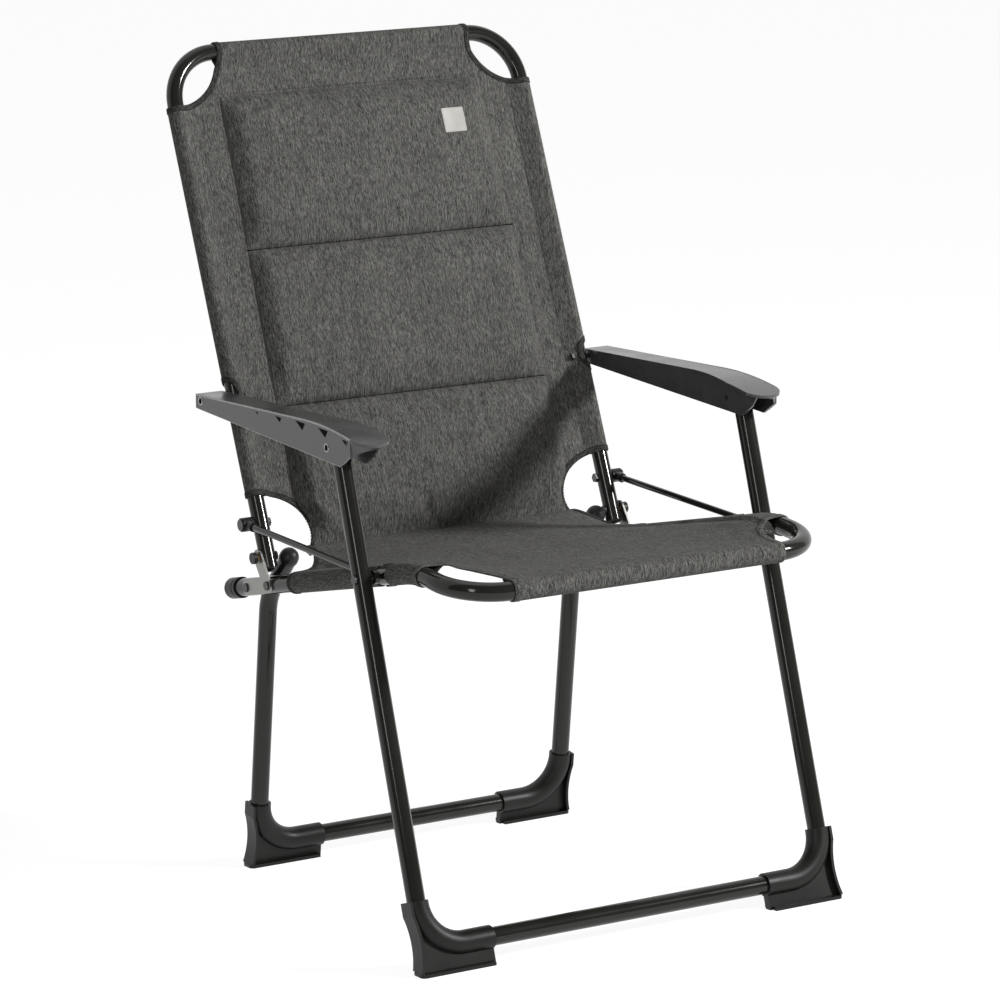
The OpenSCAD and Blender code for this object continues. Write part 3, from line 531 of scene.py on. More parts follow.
# the armrest's bolt passes a round hole on the outer side of the sleeve
BOLT_U, BOLT_V, BOLT_HOLE = SIDE_START + LEAD + math.pi * SLEEVE / 2, 157 * MM, 17 * MM
PUCKER_U, PUCKER_H, PUCKER_COUNT = 233 * MM, 1.5 * MM, 9
SLACK = 1.2 * MM


def bolt_puckers(a, v):
    """Short folds that run out from the armrest's bolt, over the strip beside the panel."""
    du, dv = a - PUCKER_U, v - BOLT_V
    reach = smooth(192 * MM, 204 * MM, a) * (1 - smooth(214 * MM, 232 * MM, a))
    ring = math.exp(-((math.hypot(du, dv) - 26 * MM) / (20 * MM)) ** 2)
    return PUCKER_H * reach * ring * math.cos(PUCKER_COUNT * math.atan2(dv, -du) + 0.8)


def back_place(u, v):
    sign = 1 if u >= 0 else -1
    a = abs(u)
    x, n_side, s, n_top = a, 0.0, v, 0.0
    if a > SIDE_START:
        x, n_side = sleeve_path(SIDE_START, TUBE_X, SLEEVE, SLEEVE_REAR, a - SIDE_START)
    if v > TOP_START:
        s, n_top = sleeve_path(TOP_START, BACK_TOP, SLEEVE, SLEEVE_REAR, v - TOP_START)
    n = n_side + n_top + bolt_puckers(a, v)
    # slack: the free sheet swings a little between its stitch lines
    if a < SIDE_START and v < TOP_START:
        n += -SLACK * math.cos(math.pi * u / (2 * SIDE_START)) * smooth(HEM, 0.1, v)
    return on_back(sign * x, s, n)


# cut-outs: round ones of radius TOP_R at the upper corners, ovals about LOW_V at the lower ones
TOP_R, LOW_V = 66 * MM, -20 * MM
LOW_RX, LOW_UP, LOW_DOWN = 65 * MM, 52 * MM, 42 * MM


def low_gap(a, v):
    """Distance outside the cut-out at the lower corner, which closes again towards the hem."""
    dy = v - LOW_V
    return (math.hypot((a - TUBE_X) / LOW_RX, dy / (LOW_UP if dy > 0 else LOW_DOWN)) - 1) * LOW_UP


def back_inside(u, v):
    """Positive on the fabric, and not in the cut-outs at its corners and at the armrest bolts."""
    a = abs(u)
    # past the tube's crown the flat layout is longer than the chair is wide, so cuts run straight
    ax = min(a, TUBE_X)
    d_top = math.hypot(ax - TUBE_X, min(v, BACK_TOP) - BACK_TOP) - TOP_R
    d_arm = math.hypot(a - BOLT_U, v - BOLT_V) - BOLT_HOLE
    return min(d_top, low_gap(ax, v), d_arm)


def build_back():
    vs = steps(HEM, TOP_START, CLOTH_STEP) + steps(TOP_START, V_END, CLOTH_STEP / 2)[1:]
    sling = cloth_piece("back_sling", across_steps(U_END, SIDE_START), vs,
                        back_inside, back_place, CLOTH_T)
    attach(sling, "back")
    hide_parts("back_cover")
    return sling


back_sling = build_back()


# ---- The padded panel ----

PAD_FRONT, PAD_REAR, PAD_SKIN = 14.5 * MM, 7 * MM, 1.1 * MM
PAD_FOOT = -40 * MM
LUMBAR = 6 * MM
SEAMS = [PAD_FOOT, SEAM_2, SEAM_1, PAD_TOP]
TINY, SAME_SPOT = 1e-6, 1e-7
# how a pad rises from each of its seams: the reach of the rise, and how steeply it starts
FOOT_RISE, LOW_STEEP, LOW_SLOW, HIGH_RISE, TOP_RISE, SIDE_RISE = (
    (reach * MM, power) for reach, power in (
        (46, 1.5), (14, 2.0), (60, 1.8), (24, 2.6), (20, 1.7), (17, 1.5)))
SEAM_LIFT = 0.08                    # height of the panel on its two inner seams
CRACK_DEEP, CRACK_WIDE = 0.09, 2.2 * MM
CREEP, BULGE = 5.0 * MM, 3.2 * MM   # how far the filling may move the skin, and outwards
FILL_FRAMES = 20


def pad_half_width(s):
    """The panel is as wide as its seams stand apart, less the cut-outs at its lower corners."""
    wide = (190 - 7 * smooth(SEAM_2, PAD_TOP, s)) * MM
    dy = s - LOW_V
    ry = (LOW_UP if dy > 0 else LOW_DOWN) + 2 * MM
    if dy < ry:
        wide = min(wide, TUBE_X - (LOW_RX + 2 * MM) * math.sqrt(max(1 - (dy / ry) ** 2, 0)))
    return wide


def pad_profile(t, reach, power):
    """Height of a pad, 0 to 1, at distance t from its nearest seam."""
    k = min(max(t / reach, 0), 1)
    return 1 - (1 - k) ** power


def seam_depth(s):
    """Height of the panel on a seam, as a share of the pads: the outer seams lie flat."""
    return SEAM_LIFT if s in (SEAM_1, SEAM_2) else 0.0


def pad_height(x, s):
    """Fullness of the panel between its seams, 0 to 1."""
    lower = max(q for q in SEAMS if q <= s + TINY)
    upper = min(q for q in SEAMS if q > s + TINY) if s < PAD_TOP - TINY else PAD_TOP
    # a pad hangs over the seam below it: steep at first, then slowly rounding off
    if lower == PAD_FOOT:
        low = pad_profile(s - lower, *FOOT_RISE)
    else:
        low = 0.66 * pad_profile(s - lower, *LOW_STEEP) + 0.34 * pad_profile(s - lower, *LOW_SLOW)
    high = pad_profile(upper - s, *(TOP_RISE if upper == PAD_TOP else HIGH_RISE))
    along = seam_depth(lower) + (1 - seam_depth(lower)) * low
    along *= seam_depth(upper) + (1 - seam_depth(upper)) * high
    side = pad_profile(pad_half_width(s) - abs(x), *SIDE_RISE)
    crown = 0.88
    if abs(x) < PAD_W:
        crown += 0.12 * math.cos(math.pi * x / (2 * PAD_W)) ** 0.6
    crack = min(abs(s - SEAM_1), abs(s - SEAM_2))
    return along * side * crown - CRACK_DEEP * max(1 - crack / CRACK_WIDE, 0) * side


def lumbar(s):
    """What the lowest pad stands out more in front, at the small of the back."""
    return LUMBAR * smooth(-44 * MM, 10 * MM, s) * (1 - smooth(35 * MM, 125 * MM, s))


def pad_grid():
    """Heights of the panel's rows and places of its columns, -1 to 1, closer near the seams."""
    size = 6 * MM
    near = [d * MM for d in (0, 0.8, 1.7, 2.9, 4.6, 7, 10, 14)]
    rows = []
    for a, b in zip(SEAMS, SEAMS[1:]):
        middle = steps(a + near[-1], b - near[-1], size)
        row = [a + d for d in near[:-1]] + middle + [b - d for d in near[-2::-1]]
        rows += row[(1 if rows else 0):]
    edge = [d / PAD_MM for d in (0, 2.2, 4.8, 7.8, 11.4, 15.6, 21)]
    cols = ([-1 + d for d in edge[:-1]] + steps(-1 + edge[-1], 1 - edge[-1], size / PAD_W)
            + [1 - d for d in edge[-2::-1]])
    return rows, cols


def blow_up(pad, pinned):
    """Let the filling press the skin outwards between the pinned seams."""
    group = pad.vertex_groups.new(name="seams")
    for k, w in enumerate(pinned):
        if w:
            group.add([k], w, "REPLACE")
    rest = [v.co.copy() for v in pad.data.vertices]
    cloth = pad.modifiers.new("filling", "CLOTH")
    st = cloth.settings
    st.quality = 6
    st.mass = 0.25
    st.tension_stiffness = st.compression_stiffness = 12
    st.shear_stiffness = 4
    st.bending_stiffness = 0.35
    st.vertex_group_mass = "seams"
    st.use_pressure = True
    st.uniform_pressure_force = 4.0
    st.shrink_min = -0.022
    st.effector_weights.gravity = 0
    cloth.collision_settings.use_collision = False
    cloth.collision_settings.use_self_collision = False
    scene = bpy.context.scene
    scene.frame_start, scene.frame_end = 1, FILL_FRAMES
    for f in range(1, FILL_FRAMES + 1):
        scene.frame_set(f)
    apply_modifiers(pad)
    scene.frame_set(1)
    # the foam holds the skin: it may only creep a little from its cut shape
    for v, r, w in zip(pad.data.vertices, rest, pinned):
        move = v.co - r
        if move.length > CREEP:
            move *= CREEP / move.length
        out = move.dot(BACK_N)
        if abs(out) > BULGE:
            move -= BACK_N * (out - math.copysign(BULGE, out))
        # the stitched grooves keep their sharp fold
        s = (r - BACK_O).dot(BACK_S)
        groove = min(min(abs(s - q) for q in SEAMS), pad_half_width(s) - abs(r.x))
        v.co = r + move * smooth(2 * MM, 24 * MM, groove) if not w else r


def build_pads():
    """One closed skin of front and rear cloth, drawn in at the seams and blown up by filling."""
    rows, cols = pad_grid()
    nu, nv = len(cols), len(rows)
    verts, uvs, pinned = [], [], []
    for side, depth in ((1, PAD_FRONT), (-1, PAD_REAR)):
        for s in rows:
            for i, c in enumerate(cols):
                x = c * pad_half_width(s)
                full = pad_height(x, s)
                more = lumbar(s) if side > 0 else 0
                verts.append(on_back(x, s, side * (PAD_SKIN + (depth + more - PAD_SKIN) * full)))
                uvs.append((x, s + (0 if side > 0 else 1.0)))
                on_seam = any(abs(s - q) < TINY for q in SEAMS)
                pinned.append(1.0 if on_seam or i in (0, nu - 1) else 0.0)
    faces = []
    for layer in (0, 1):
        base = layer * nu * nv
        for j in range(nv - 1):
            for i in range(nu - 1):
                a = base + j * nu + i
                quad = [a, a + 1, a + nu + 1, a + nu]
                faces.append(quad if layer == 0 else quad[::-1])
    rim = (list(range(nu)) + [j * nu + nu - 1 for j in range(1, nv)]
           + [(nv - 1) * nu + i for i in range(nu - 2, -1, -1)]
           + [j * nu for j in range(nv - 2, 0, -1)])
    for k, a in enumerate(rim):
        b = rim[(k + 1) % len(rim)]
        faces.append([b, a, a + nu * nv, b + nu * nv])
    pad = make_object("padded_panel", verts, faces, uvs)
    blow_up(pad, pinned)
    sub = pad.modifiers.new("smooth", "SUBSURF")
    sub.levels = sub.render_levels = 1
    apply_modifiers(pad)
    shade_soft(pad.data)
    set_material(pad, FABRIC)
    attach(pad, "back")
    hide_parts("back_pad_top", "back_pad_middle", "back_pad_bottom")
    return pad


padded_panel = build_pads()


# ---- The seat ----

ARC_R = DROP_R + 12 * MM
ARC_END = NOSE_AT + ARC_R * DROP_A
SEAT_V0 = ARC_END + DROP_START        # v where the fabric passes the front leg's pivot
CROTCH_TO = on_back(0, -37 * MM, 2.5 * MM) - SEAT_O
CROTCH_D, CROTCH_H = CROTCH_TO.dot(SEAT_D), CROTCH_TO.dot(SEAT_N)
CROTCH_V = SEAT_V0 + CROTCH_D + 3 * MM
SEAT_WRAP = SEAT_R + AIR + CLOTH_T / 2
SEAT_SIDE = 214 * MM
SIDE_TAIL, FRONT_TAIL = 24 * MM, 22 * MM   # cloth past the turn round the side and front tubes
SEAT_LEAD = math.hypot(TUBE_X - SEAT_SIDE, 1 * MM)
SEAT_U_END = SEAT_SIDE + SEAT_LEAD + math.pi * SEAT_WRAP + SIDE_TAIL
SEAT_V_START = -(math.pi * SEAT_WRAP + FRONT_TAIL)
SAG, CREASE, WAVE = 5 * MM, 2.2 * MM, 0.9 * MM
DROP_C = SEAT_O - SEAT_D * DROP_START - SEAT_N * DROP_R


def seat_axis(v):
    """Tube axis under the fabric at v, the way back along it, and the way up from it."""
    if v >= ARC_END:
        return SEAT_O + SEAT_D * (v - SEAT_V0), SEAT_D, SEAT_N
    turn = (ARC_END - max(v, NOSE_AT)) / ARC_R
    up = math.cos(turn) * SEAT_N - math.sin(turn) * SEAT_D
    back = math.cos(turn) * SEAT_D + math.sin(turn) * SEAT_N
    axis = DROP_C + up * DROP_R
    if v < NOSE_AT:
        axis = axis - back * (NOSE_AT - v)
    return axis, back, up


SEAT_BAR = seat_axis(0)[0]
CROTCH = SEAT_O + SEAT_D * CROTCH_D + SEAT_N * CROTCH_H


def seat_middle(v):
    """Height of the seat's middle over the tube's axis: it is pulled straight front to back."""
    axis, back, up = seat_axis(v)
    start = SEAT_BAR + seat_axis(0)[2] * SEAT_WRAP
    k = min(max(v / CROTCH_V, 0), 1)
    chord = start + (CROTCH - start) * k
    return (chord - axis).dot(up) - SAG * math.sin(math.pi * k) ** 1.3


def seat_side(a, h, edge):
    """How far out and how high the cloth lies at a from the middle: round the tube at the side."""
    if a <= SEAT_SIDE:
        return a, h
    t = a - SEAT_SIDE
    if t < SEAT_LEAD:
        return SEAT_SIDE + (TUBE_X - SEAT_SIDE) * t / SEAT_LEAD, edge
    turn = (t - SEAT_LEAD) / SEAT_WRAP
    if turn < math.pi:
        return TUBE_X + SEAT_WRAP * math.sin(turn), SEAT_WRAP * math.cos(turn)
    r = min((turn - math.pi) * SEAT_WRAP / SIDE_TAIL, 1)
    return (TUBE_X - (TUBE_X - SEAT_SIDE - 4 * MM) * r,
            -SEAT_WRAP + (2 * SEAT_WRAP - 2.2 * MM) * smooth(0, 1, r))


def seat_place(u, v):
    sign = 1 if u >= 0 else -1
    a = abs(u)
    q = max(v, 0)
    axis, back, up = seat_axis(q)
    edge = SEAT_WRAP + (CROTCH_H - SEAT_WRAP) * smooth(SEAT_V0 + 222 * MM, CROTCH_V, q)
    mid = seat_middle(q)
    k = min(a / SEAT_SIDE, 1)
    h = mid + (edge - mid) * (0.30 * k ** 2 + 0.70 * k ** 5)
    # crease along the sleeve's inner seam
    h -= (CREASE * math.exp(-((a - 206 * MM) / (7 * MM)) ** 2) * smooth(40 * MM, 110 * MM, q)
          * (1 - smooth(CROTCH_V - 90 * MM, CROTCH_V - 20 * MM, q)))
    # soft unevenness of the stretched cloth
    h += WAVE * math.sin(q * 31 + 1.3 * math.sin(u * 9)) * math.sin(u * 14 + 2.0) * (1 - k ** 4)
    x, h = seat_side(a, h, edge)
    if v < 0:
        turn = -v / SEAT_WRAP
        if turn < math.pi:
            p = SEAT_BAR + SEAT_WRAP * (math.cos(turn) * up - math.sin(turn) * back)
        else:
            r = min((turn - math.pi) * SEAT_WRAP / FRONT_TAIL, 1)
            p = (SEAT_BAR - SEAT_WRAP * up + back * 20 * MM * r
                 + up * (2 * SEAT_WRAP - 3.2 * MM) * smooth(0, 1, r))
        return p + ACROSS * sign * x
    p = axis + up * h
    return Vector((sign * x, p[1], p[2]))


FRONT_NOTCH = (62 * MM, 88 * MM)
REAR_NOTCH = (53 * MM, 66 * MM)
GAP_FROM, GAP_HALF = 228 * MM, 14 * MM


def seat_inside(u, v):
    """Positive on the fabric: its corners and the gap at the front leg's pivot are left out."""
    a = min(abs(u), TUBE_X)
    q = max(v, 0)
    front = (math.hypot((TUBE_X - a) / FRONT_NOTCH[0], q / FRONT_NOTCH[1]) - 1) * 70 * MM
    rear = (math.hypot((TUBE_X - a) / REAR_NOTCH[0], (CROTCH_V - v) / REAR_NOTCH[1]) - 1) * 60 * MM
    pivot = max(GAP_FROM - abs(u), abs(v - SEAT_V0) - GAP_HALF)
    return min(front, rear, pivot)


def build_seat():
    vs = steps(SEAT_V_START, 0, CLOTH_STEP / 2) + steps(0, CROTCH_V, CLOTH_STEP)[1:]
    sling = cloth_piece("seat_sling", across_steps(SEAT_U_END, SEAT_SIDE), vs,
                        seat_inside, seat_place, CLOTH_T)
    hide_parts("seat_cover")
    return sling


seat_sling = build_seat()


# ---- Bindings along the cut edges ----

def arc(cx, cy, rx, ry, a0, a1, n):
    angles = [a0 + (a1 - a0) * i / n for i in range(n + 1)]
    return [(cx + rx * math.cos(a), cy + ry * math.sin(a)) for a in angles]


def ways(path, k, inside, e):
    """Directions in the flat at the k-th point of a cut edge: along it, and into the cloth."""
    (u0, v0), (u, v), (u1, v1) = path[max(k - 1, 0)], path[k], path[min(k + 1, len(path) - 1)]
    size = math.hypot(u1 - u0, v1 - v0)
    du, dv = (u1 - u0) / size, (v1 - v0) / size
    nu, nv = -dv, du
    if inside(u + nu * e, v + nv * e) < inside(u - nu * e, v - nv * e):
        nu, nv = -nu, -nv
    return du, dv, nu, nv


def edge_frames(path, place, inside):
    """For each point of a path in the flat cloth: its place, the way in, and the normal."""
    frames = []
    e = 0.8 * MM
    for k, (u, v) in enumerate(path):
        du, dv, nu, nv = ways(path, k, inside, e)
        p = place(u, v)
        inward = (place(u + nu * e, v + nv * e) - p).normalized()
        along = (place(u + du * e, v + dv * e) - place(u - du * e, v - dv * e)).normalized()
        normal = along.cross(inward).normalized()
        frames.append((p, normal.cross(along).normalized(), normal))
    return frames


# the folded tape, cut across: how far into the cloth in millimetres, and its share of the height
TAPE_SECTION = [(-1.0, 0.0), (-0.7, 0.75), (0.2, 1.0), (3.0, 1.0), (5.8, 0.95), (6.4, 0.6),
                (6.4, -0.6), (5.8, -0.95), (3.0, -1.0), (0.2, -1.0), (-0.7, -0.75)]
TAPE_WRAP = 1.4 * MM


def fix_normals(obj):
    bm = bmesh.new()
    bm.from_mesh(obj.data)
    bmesh.ops.recalc_face_normals(bm, faces=bm.faces[:])
    bm.to_mesh(obj.data)
    bm.free()


def binding(name, paths, place, inside, mat, thick=2.9 * MM, width=1.0):
    """Folded tape sewn over a cut edge: one closed strip along each path."""
    verts, faces, uvs = [], [], []
    m = len(TAPE_SECTION)
    for path in paths:
        frames = edge_frames(path, place, inside)
        base = len(verts)
        run = 0.0
        for k, (p, inward, normal) in enumerate(frames):
            if k:
                run += (p - frames[k - 1][0]).length
            for i, (across, up) in enumerate(TAPE_SECTION):
                verts.append(p + inward * (across * width * MM) + normal * (up * thick / 2))
                uvs.append((i * TAPE_WRAP, run))
        n = len(frames)
        for k in range(n - 1):
            for i in range(m):
                a, b = base + k * m + i, base + k * m + (i + 1) % m
                faces.append([a, b, b + m, a + m])
        faces.append([base + i for i in range(m)][::-1])
        faces.append([base + (n - 1) * m + i for i in range(m)])
    tape = make_object(name, verts, faces, uvs)
    fix_normals(tape)
    set_material(tape, mat)
    return tape


def mirrored(path):
    return [(-u, v) for u, v in path]


def both_sides(*paths):
    return [p for path in paths for p in (path, mirrored(path))]


def line(p, q, n):
    return [(p[0] + (q[0] - p[0]) * i / n, p[1] + (q[1] - p[1]) * i / n) for i in range(n + 1)]


def joined(*parts):
    out = list(parts[0])
    for part in parts[1:]:
        out += part[1:]
    return out


# the cut edges: straight over the tubes, round between them; they end short of the cloth's end
SHORT = 2 * MM
EDGE_N, ROUND_N = 28, 32
U_STOP, V_STOP, SEAT_U_STOP = U_END - SHORT, V_END - SHORT, SEAT_U_END - SHORT
top_v, low_v, rear_v = BACK_TOP - TOP_R, LOW_V + LOW_UP, CROTCH_V - REAR_NOTCH[1]
top_cut = joined(line((U_STOP, top_v), (TUBE_X, top_v), EDGE_N),
                 arc(TUBE_X, BACK_TOP, TOP_R, TOP_R, -math.pi / 2, -math.pi, ROUND_N),
                 line((TUBE_X - TOP_R, BACK_TOP), (TUBE_X - TOP_R, V_STOP), EDGE_N))
low_end = math.pi + math.asin((LOW_V - HEM) / LOW_DOWN)
low_cut = joined(line((U_STOP, low_v), (TUBE_X, low_v), EDGE_N),
                 arc(TUBE_X, LOW_V, LOW_RX, LOW_UP, math.pi / 2, math.pi, ROUND_N),
                 arc(TUBE_X, LOW_V, LOW_RX, LOW_DOWN, math.pi, low_end, 12))
bolt_cut = arc(BOLT_U, BOLT_V, BOLT_HOLE, BOLT_HOLE, 0, 2 * math.pi, 40)
rear_cut = joined(line((SEAT_U_STOP, rear_v), (TUBE_X, rear_v), EDGE_N),
                  arc(TUBE_X, CROTCH_V, *REAR_NOTCH, -math.pi / 2, -math.pi, ROUND_N))
front_x = TUBE_X - FRONT_NOTCH[0]
front_cut = joined(line((SEAT_U_STOP, FRONT_NOTCH[1]), (TUBE_X, FRONT_NOTCH[1]), EDGE_N),
                   arc(TUBE_X, 0, *FRONT_NOTCH, math.pi / 2, math.pi, ROUND_N),
                   line((front_x, 0), (front_x, SEAT_V_START + SHORT), EDGE_N))

back_tapes = binding("back_bindings", both_sides(top_cut, low_cut, bolt_cut),
                     back_place, back_inside, TAPE)
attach(back_tapes, "back")
seat_tapes = binding("seat_bindings", both_sides(rear_cut), seat_place, seat_inside, TAPE)
front_tapes = binding("seat_front_hems", both_sides(front_cut), seat_place, seat_inside, FABRIC,
                      2.3 * MM, 1.25)
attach(front_tapes, "seat")


# ---- Seams and stitches ----

# one stitch: along the seam and across it, and how far it stands out, as shares of its size
STITCH = [(-0.5, 0.0, -0.4), (-0.3, -0.5, 0.0), (-0.3, 0.5, 0.0), (-0.3, 0.0, 0.5),
          (0.3, -0.5, 0.0), (0.3, 0.5, 0.0), (0.3, 0.0, 0.5), (0.5, 0.0, -0.4)]
STITCH_FACES = [(0, 1, 3), (0, 3, 2), (1, 4, 6, 3), (3, 6, 5, 2), (7, 6, 4), (7, 5, 6),
                (0, 2, 1), (1, 2, 5, 4), (7, 4, 5)]


def stitch_rows(name, rows, place, lift, mat, pitch=3.6 * MM, length=2.5 * MM, wide=0.55 * MM):
    """Rows of thread stitches laid on the cloth along flat paths, lifted off its middle layer."""
    verts, faces = [], []
    e = 0.5 * MM
    for path, up in rows:
        pts = [place(u, v) for u, v in path]
        run = 0.0
        at = pitch / 2
        for k in range(len(pts) - 1):
            p, q = pts[k], pts[k + 1]
            seg = (q - p).length
            if seg < SAME_SPOT:
                continue
            (u0, v0), (u1, v1) = path[k], path[k + 1]
            while at < run + seg:
                t = (at - run) / seg
                u, v = u0 + (u1 - u0) * t, v0 + (v1 - v0) * t
                a = place(u + e, v) - place(u - e, v)
                b = place(u, v + e) - place(u, v - e)
                normal = a.cross(b).normalized() * up
                c = p.lerp(q, t) + normal * lift
                d = (q - p).normalized()
                side = normal.cross(d).normalized()
                base = len(verts)
                for f, w, z in STITCH:
                    verts.append(c + d * f * length + side * w * wide + normal * z * wide)
                faces.extend([base + i for i in face] for face in STITCH_FACES)
                at += pitch
            run += seg
    obj = make_object(name, verts, faces)
    fix_normals(obj)
    set_material(obj, mat)
    return obj


def inset(path, inside, d):
    """The same path moved into the cloth by d, in the flat."""
    out = []
    for k, (u, v) in enumerate(path):
        du, dv, nu, nv = ways(path, k, inside, MM)
        out.append((u + nu * d, v + nv * d))
    return out


def two_faced(*paths):
    """Each path once for the front of the cloth and once for its rear."""
    return [(path, up) for path in paths for up in (1, -1)]


TAPE_SEAM, HEM_SEAM = 5.0 * MM, 6.2 * MM   # how far in from the cut edge the tapes are sewn
TAPE_LIFT, SEAM_LOW, SEAT_LIFT, SEAM_SHADE_LIFT = 1.5 * MM, 0.75 * MM, 1.25 * MM, 1.6 * MM

rows = two_faced(*(inset(p, back_inside, TAPE_SEAM)
                   for p in both_sides(top_cut, low_cut, bolt_cut)))
tape_thread_back = stitch_rows("back_binding_thread", rows, back_place, TAPE_LIFT, THREAD)
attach(tape_thread_back, "back")

side_low, side_high = low_v + 7 * MM, top_v - 7 * MM
top_x, top_seam_v = TUBE_X - TOP_R - 8 * MM, BACK_TOP - 24 * MM
panel_v = PAD_TOP + 3.5 * MM
rows = []
for sign in (1, -1):
    # sleeve seam, behind it the edge of the folded sleeve
    rows += two_faced([(sign * 224 * MM, side_low), (sign * 224 * MM, side_high)])
    # edge of the padded panel
    rows += two_faced([(sign * (pad_half_width(s) + 3.2 * MM), s)
                       for s in steps(-30 * MM, PAD_TOP, 8 * MM)])
rows.append(([(-top_x, top_seam_v), (top_x, top_seam_v)], -1))
rows += two_faced([(-185 * MM, panel_v), (185 * MM, panel_v)])
seam_thread = stitch_rows("back_seam_thread", rows, back_place, SEAM_LOW, THREAD)
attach(seam_thread, "back")
# the two seams between the pads: a close run of near-black stitches in the fold, which paints the
# seam's shade as a dark line
rows = [([(-187 * MM, s), (187 * MM, s)], 1) for s in (SEAM_1, SEAM_2)]
painted_seam_shade = stitch_rows("pad_seam_painted_shade", rows, back_place, SEAM_SHADE_LIFT, SEAM_SHADE,
                          2.4 * MM, 3.4 * MM, 1.9 * MM)
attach(painted_seam_shade, "back")

rows = two_faced(*(inset(p, seat_inside, TAPE_SEAM) for p in both_sides(rear_cut)))
tape_thread_seat = stitch_rows("seat_binding_thread", rows, seat_place, TAPE_LIFT, THREAD)
rows = two_faced(*(inset(p, seat_inside, HEM_SEAM) for p in both_sides(front_cut)))
for sign in (1, -1):
    rows += two_faced([(sign * 208 * MM, v) for v in steps(110 * MM, CROTCH_V - 76 * MM, 10 * MM)])
rows.append(([(u, 30 * MM) for u in steps(-178 * MM, 178 * MM, 10 * MM)], -1))
seat_thread = stitch_rows("seat_thread", rows, seat_place, SEAT_LIFT, THREAD)
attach(seat_thread, "seat")

# the seat's rear edge is sewn to the hem of the back; these pieces get their places put into their
# meshes
for piece in (seat_sling, seat_tapes, tape_thread_seat):
    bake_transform(piece)


# ---- Bare cloth label ----

LABEL_AT, LABEL_HALF, LABEL_ROUND, LABEL_T = (126 * MM, 467 * MM), 15.5 * MM, 1.2 * MM, 0.9 * MM


def build_label():
    """Small square of pale cloth sewn to the upper pad, left blank."""
    half = LABEL_HALF
    tree = BVHTree.FromObject(padded_panel, bpy.context.evaluated_depsgraph_get())

    def place(u, v):
        x, s = LABEL_AT[0] + u, LABEL_AT[1] + v
        hit = tree.ray_cast(on_back(x, s, 40 * MM), -BACK_N)[0]
        return (hit or on_back(x, s, PAD_FRONT)) + BACK_N * 0.5 * MM

    def inside(u, v):
        dx, dy = max(abs(u) - half + LABEL_ROUND, 0), max(abs(v) - half + LABEL_ROUND, 0)
        return LABEL_ROUND - math.hypot(dx, dy)

    g = steps(-half - MM, half + MM, 1.6 * MM)
    patch = cloth_piece("blank_label", g, g, inside, place, LABEL_T)
    set_material(patch, LABEL)
    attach(patch, "back")
    e = half - 1.6 * MM
    ring = [(-e, -e), (e, -e), (e, e), (-e, e), (-e, -e)]
    path = joined(*[line(a, b, 12) for a, b in zip(ring, ring[1:])])
    thread = stitch_rows("blank_label_thread", [(path, 1)], place, 0.5 * MM, LABEL_THREAD,
                         2.4 * MM, 1.7 * MM, 0.4 * MM)
    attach(thread, "back")
    return patch, thread


blank_label, label_thread = build_label()


# ---- Armrest trim: painted edge highlights, the wall below the nose, painted shade in pockets and sockets ----

ARM_O = PIVOT["armrest_fold"]
ARM_U, ARM_V = side_dir(math.radians(2)), side_dir(math.radians(92))
# from its front bolt: how far to the rear bolt, how high its top is above each of them, and
# the nose's dip with where it starts and ends
LINK, ARM_CROWN, ARM_HEEL, ARM_DIP, ARM_BEND, ARM_NOSE = (
    v * MM for v in (309.5, 27, 7, 12, 60, 78))
ARM_OUT = 291 * MM
ARM_WIDE = abs(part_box("armrest_right")[0][0])
BEAD_FROM, BEAD_TO = -54 * MM, 319 * MM
FOOT_AT, FOOT_LOW = -33 * MM, -16 * MM     # lowest point of the side wall, near the front bolt
NOSE_ROUND, TIP = 24 * MM, 13
SKIRT_MIN, SKIRT_MORE = 2.2 * MM, 20 * MM
# the triangular pockets: place along the armrest and size, in millimetres
POCKETS = [(167, 3), (114, 6), (61, 9), (7, 9), (-44, 6)]


def arm_top(u):
    drop = 0
    if u < ARM_BEND:
        drop = 1.4 * ARM_DIP * ((ARM_BEND - u) / (ARM_BEND + ARM_NOSE)) ** 2
    return ARM_CROWN + (ARM_HEEL - ARM_CROWN) * u / LINK - drop


def arm_foot(u):
    """Lower edge of the side wall: straight from the rear end to below the front bolt, then up."""
    if u > FOOT_AT:
        return FOOT_LOW + 6 * MM * (u - FOOT_AT) / (354.5 * MM)
    return FOOT_LOW - (u - FOOT_AT) * 15 / 22


def on_arm(x, u, v):
    return ARM_O + ACROSS * x + ARM_U * u + ARM_V * v


def start_edit(obj):
    bpy.context.view_layer.objects.active = obj
    bpy.ops.object.mode_set(mode="EDIT")
    bpy.ops.mesh.select_all(action="SELECT")


def settle(obj, name, mat):
    """Leave edit mode, put the object's place into its mesh and give it its name and finish."""
    bpy.ops.object.mode_set(mode="OBJECT")
    bpy.ops.object.transform_apply(location=True, rotation=True, scale=True)
    obj.name = name
    fix_normals(obj)
    bpy.ops.object.shade_smooth_by_angle(angle=math.radians(40))
    set_material(obj, mat)
    return obj


def highlight_bead(name, side, height, radius):
    """Thin round bead along a long outer edge, pulled along the armrest step by step; its pale
    colour is a painted highlight.
    """
    path = [on_arm(side * (ARM_OUT - 0.5 * MM), u, height(u))
            for u in reversed(steps(BEAD_FROM, BEAD_TO, 11 * MM))]
    bpy.ops.object.select_all(action="DESELECT")
    bpy.ops.mesh.primitive_circle_add(vertices=10, radius=radius, fill_type="NGON",
                                      location=path[0], rotation=(math.pi / 2, 0, 0))
    bead = bpy.context.object
    start_edit(bead)
    for a, b in zip(path, path[1:]):
        bpy.ops.mesh.extrude_region_move(TRANSFORM_OT_translate={"value": b - a})
    return settle(bead, name, ARM_HIGHLIGHT)


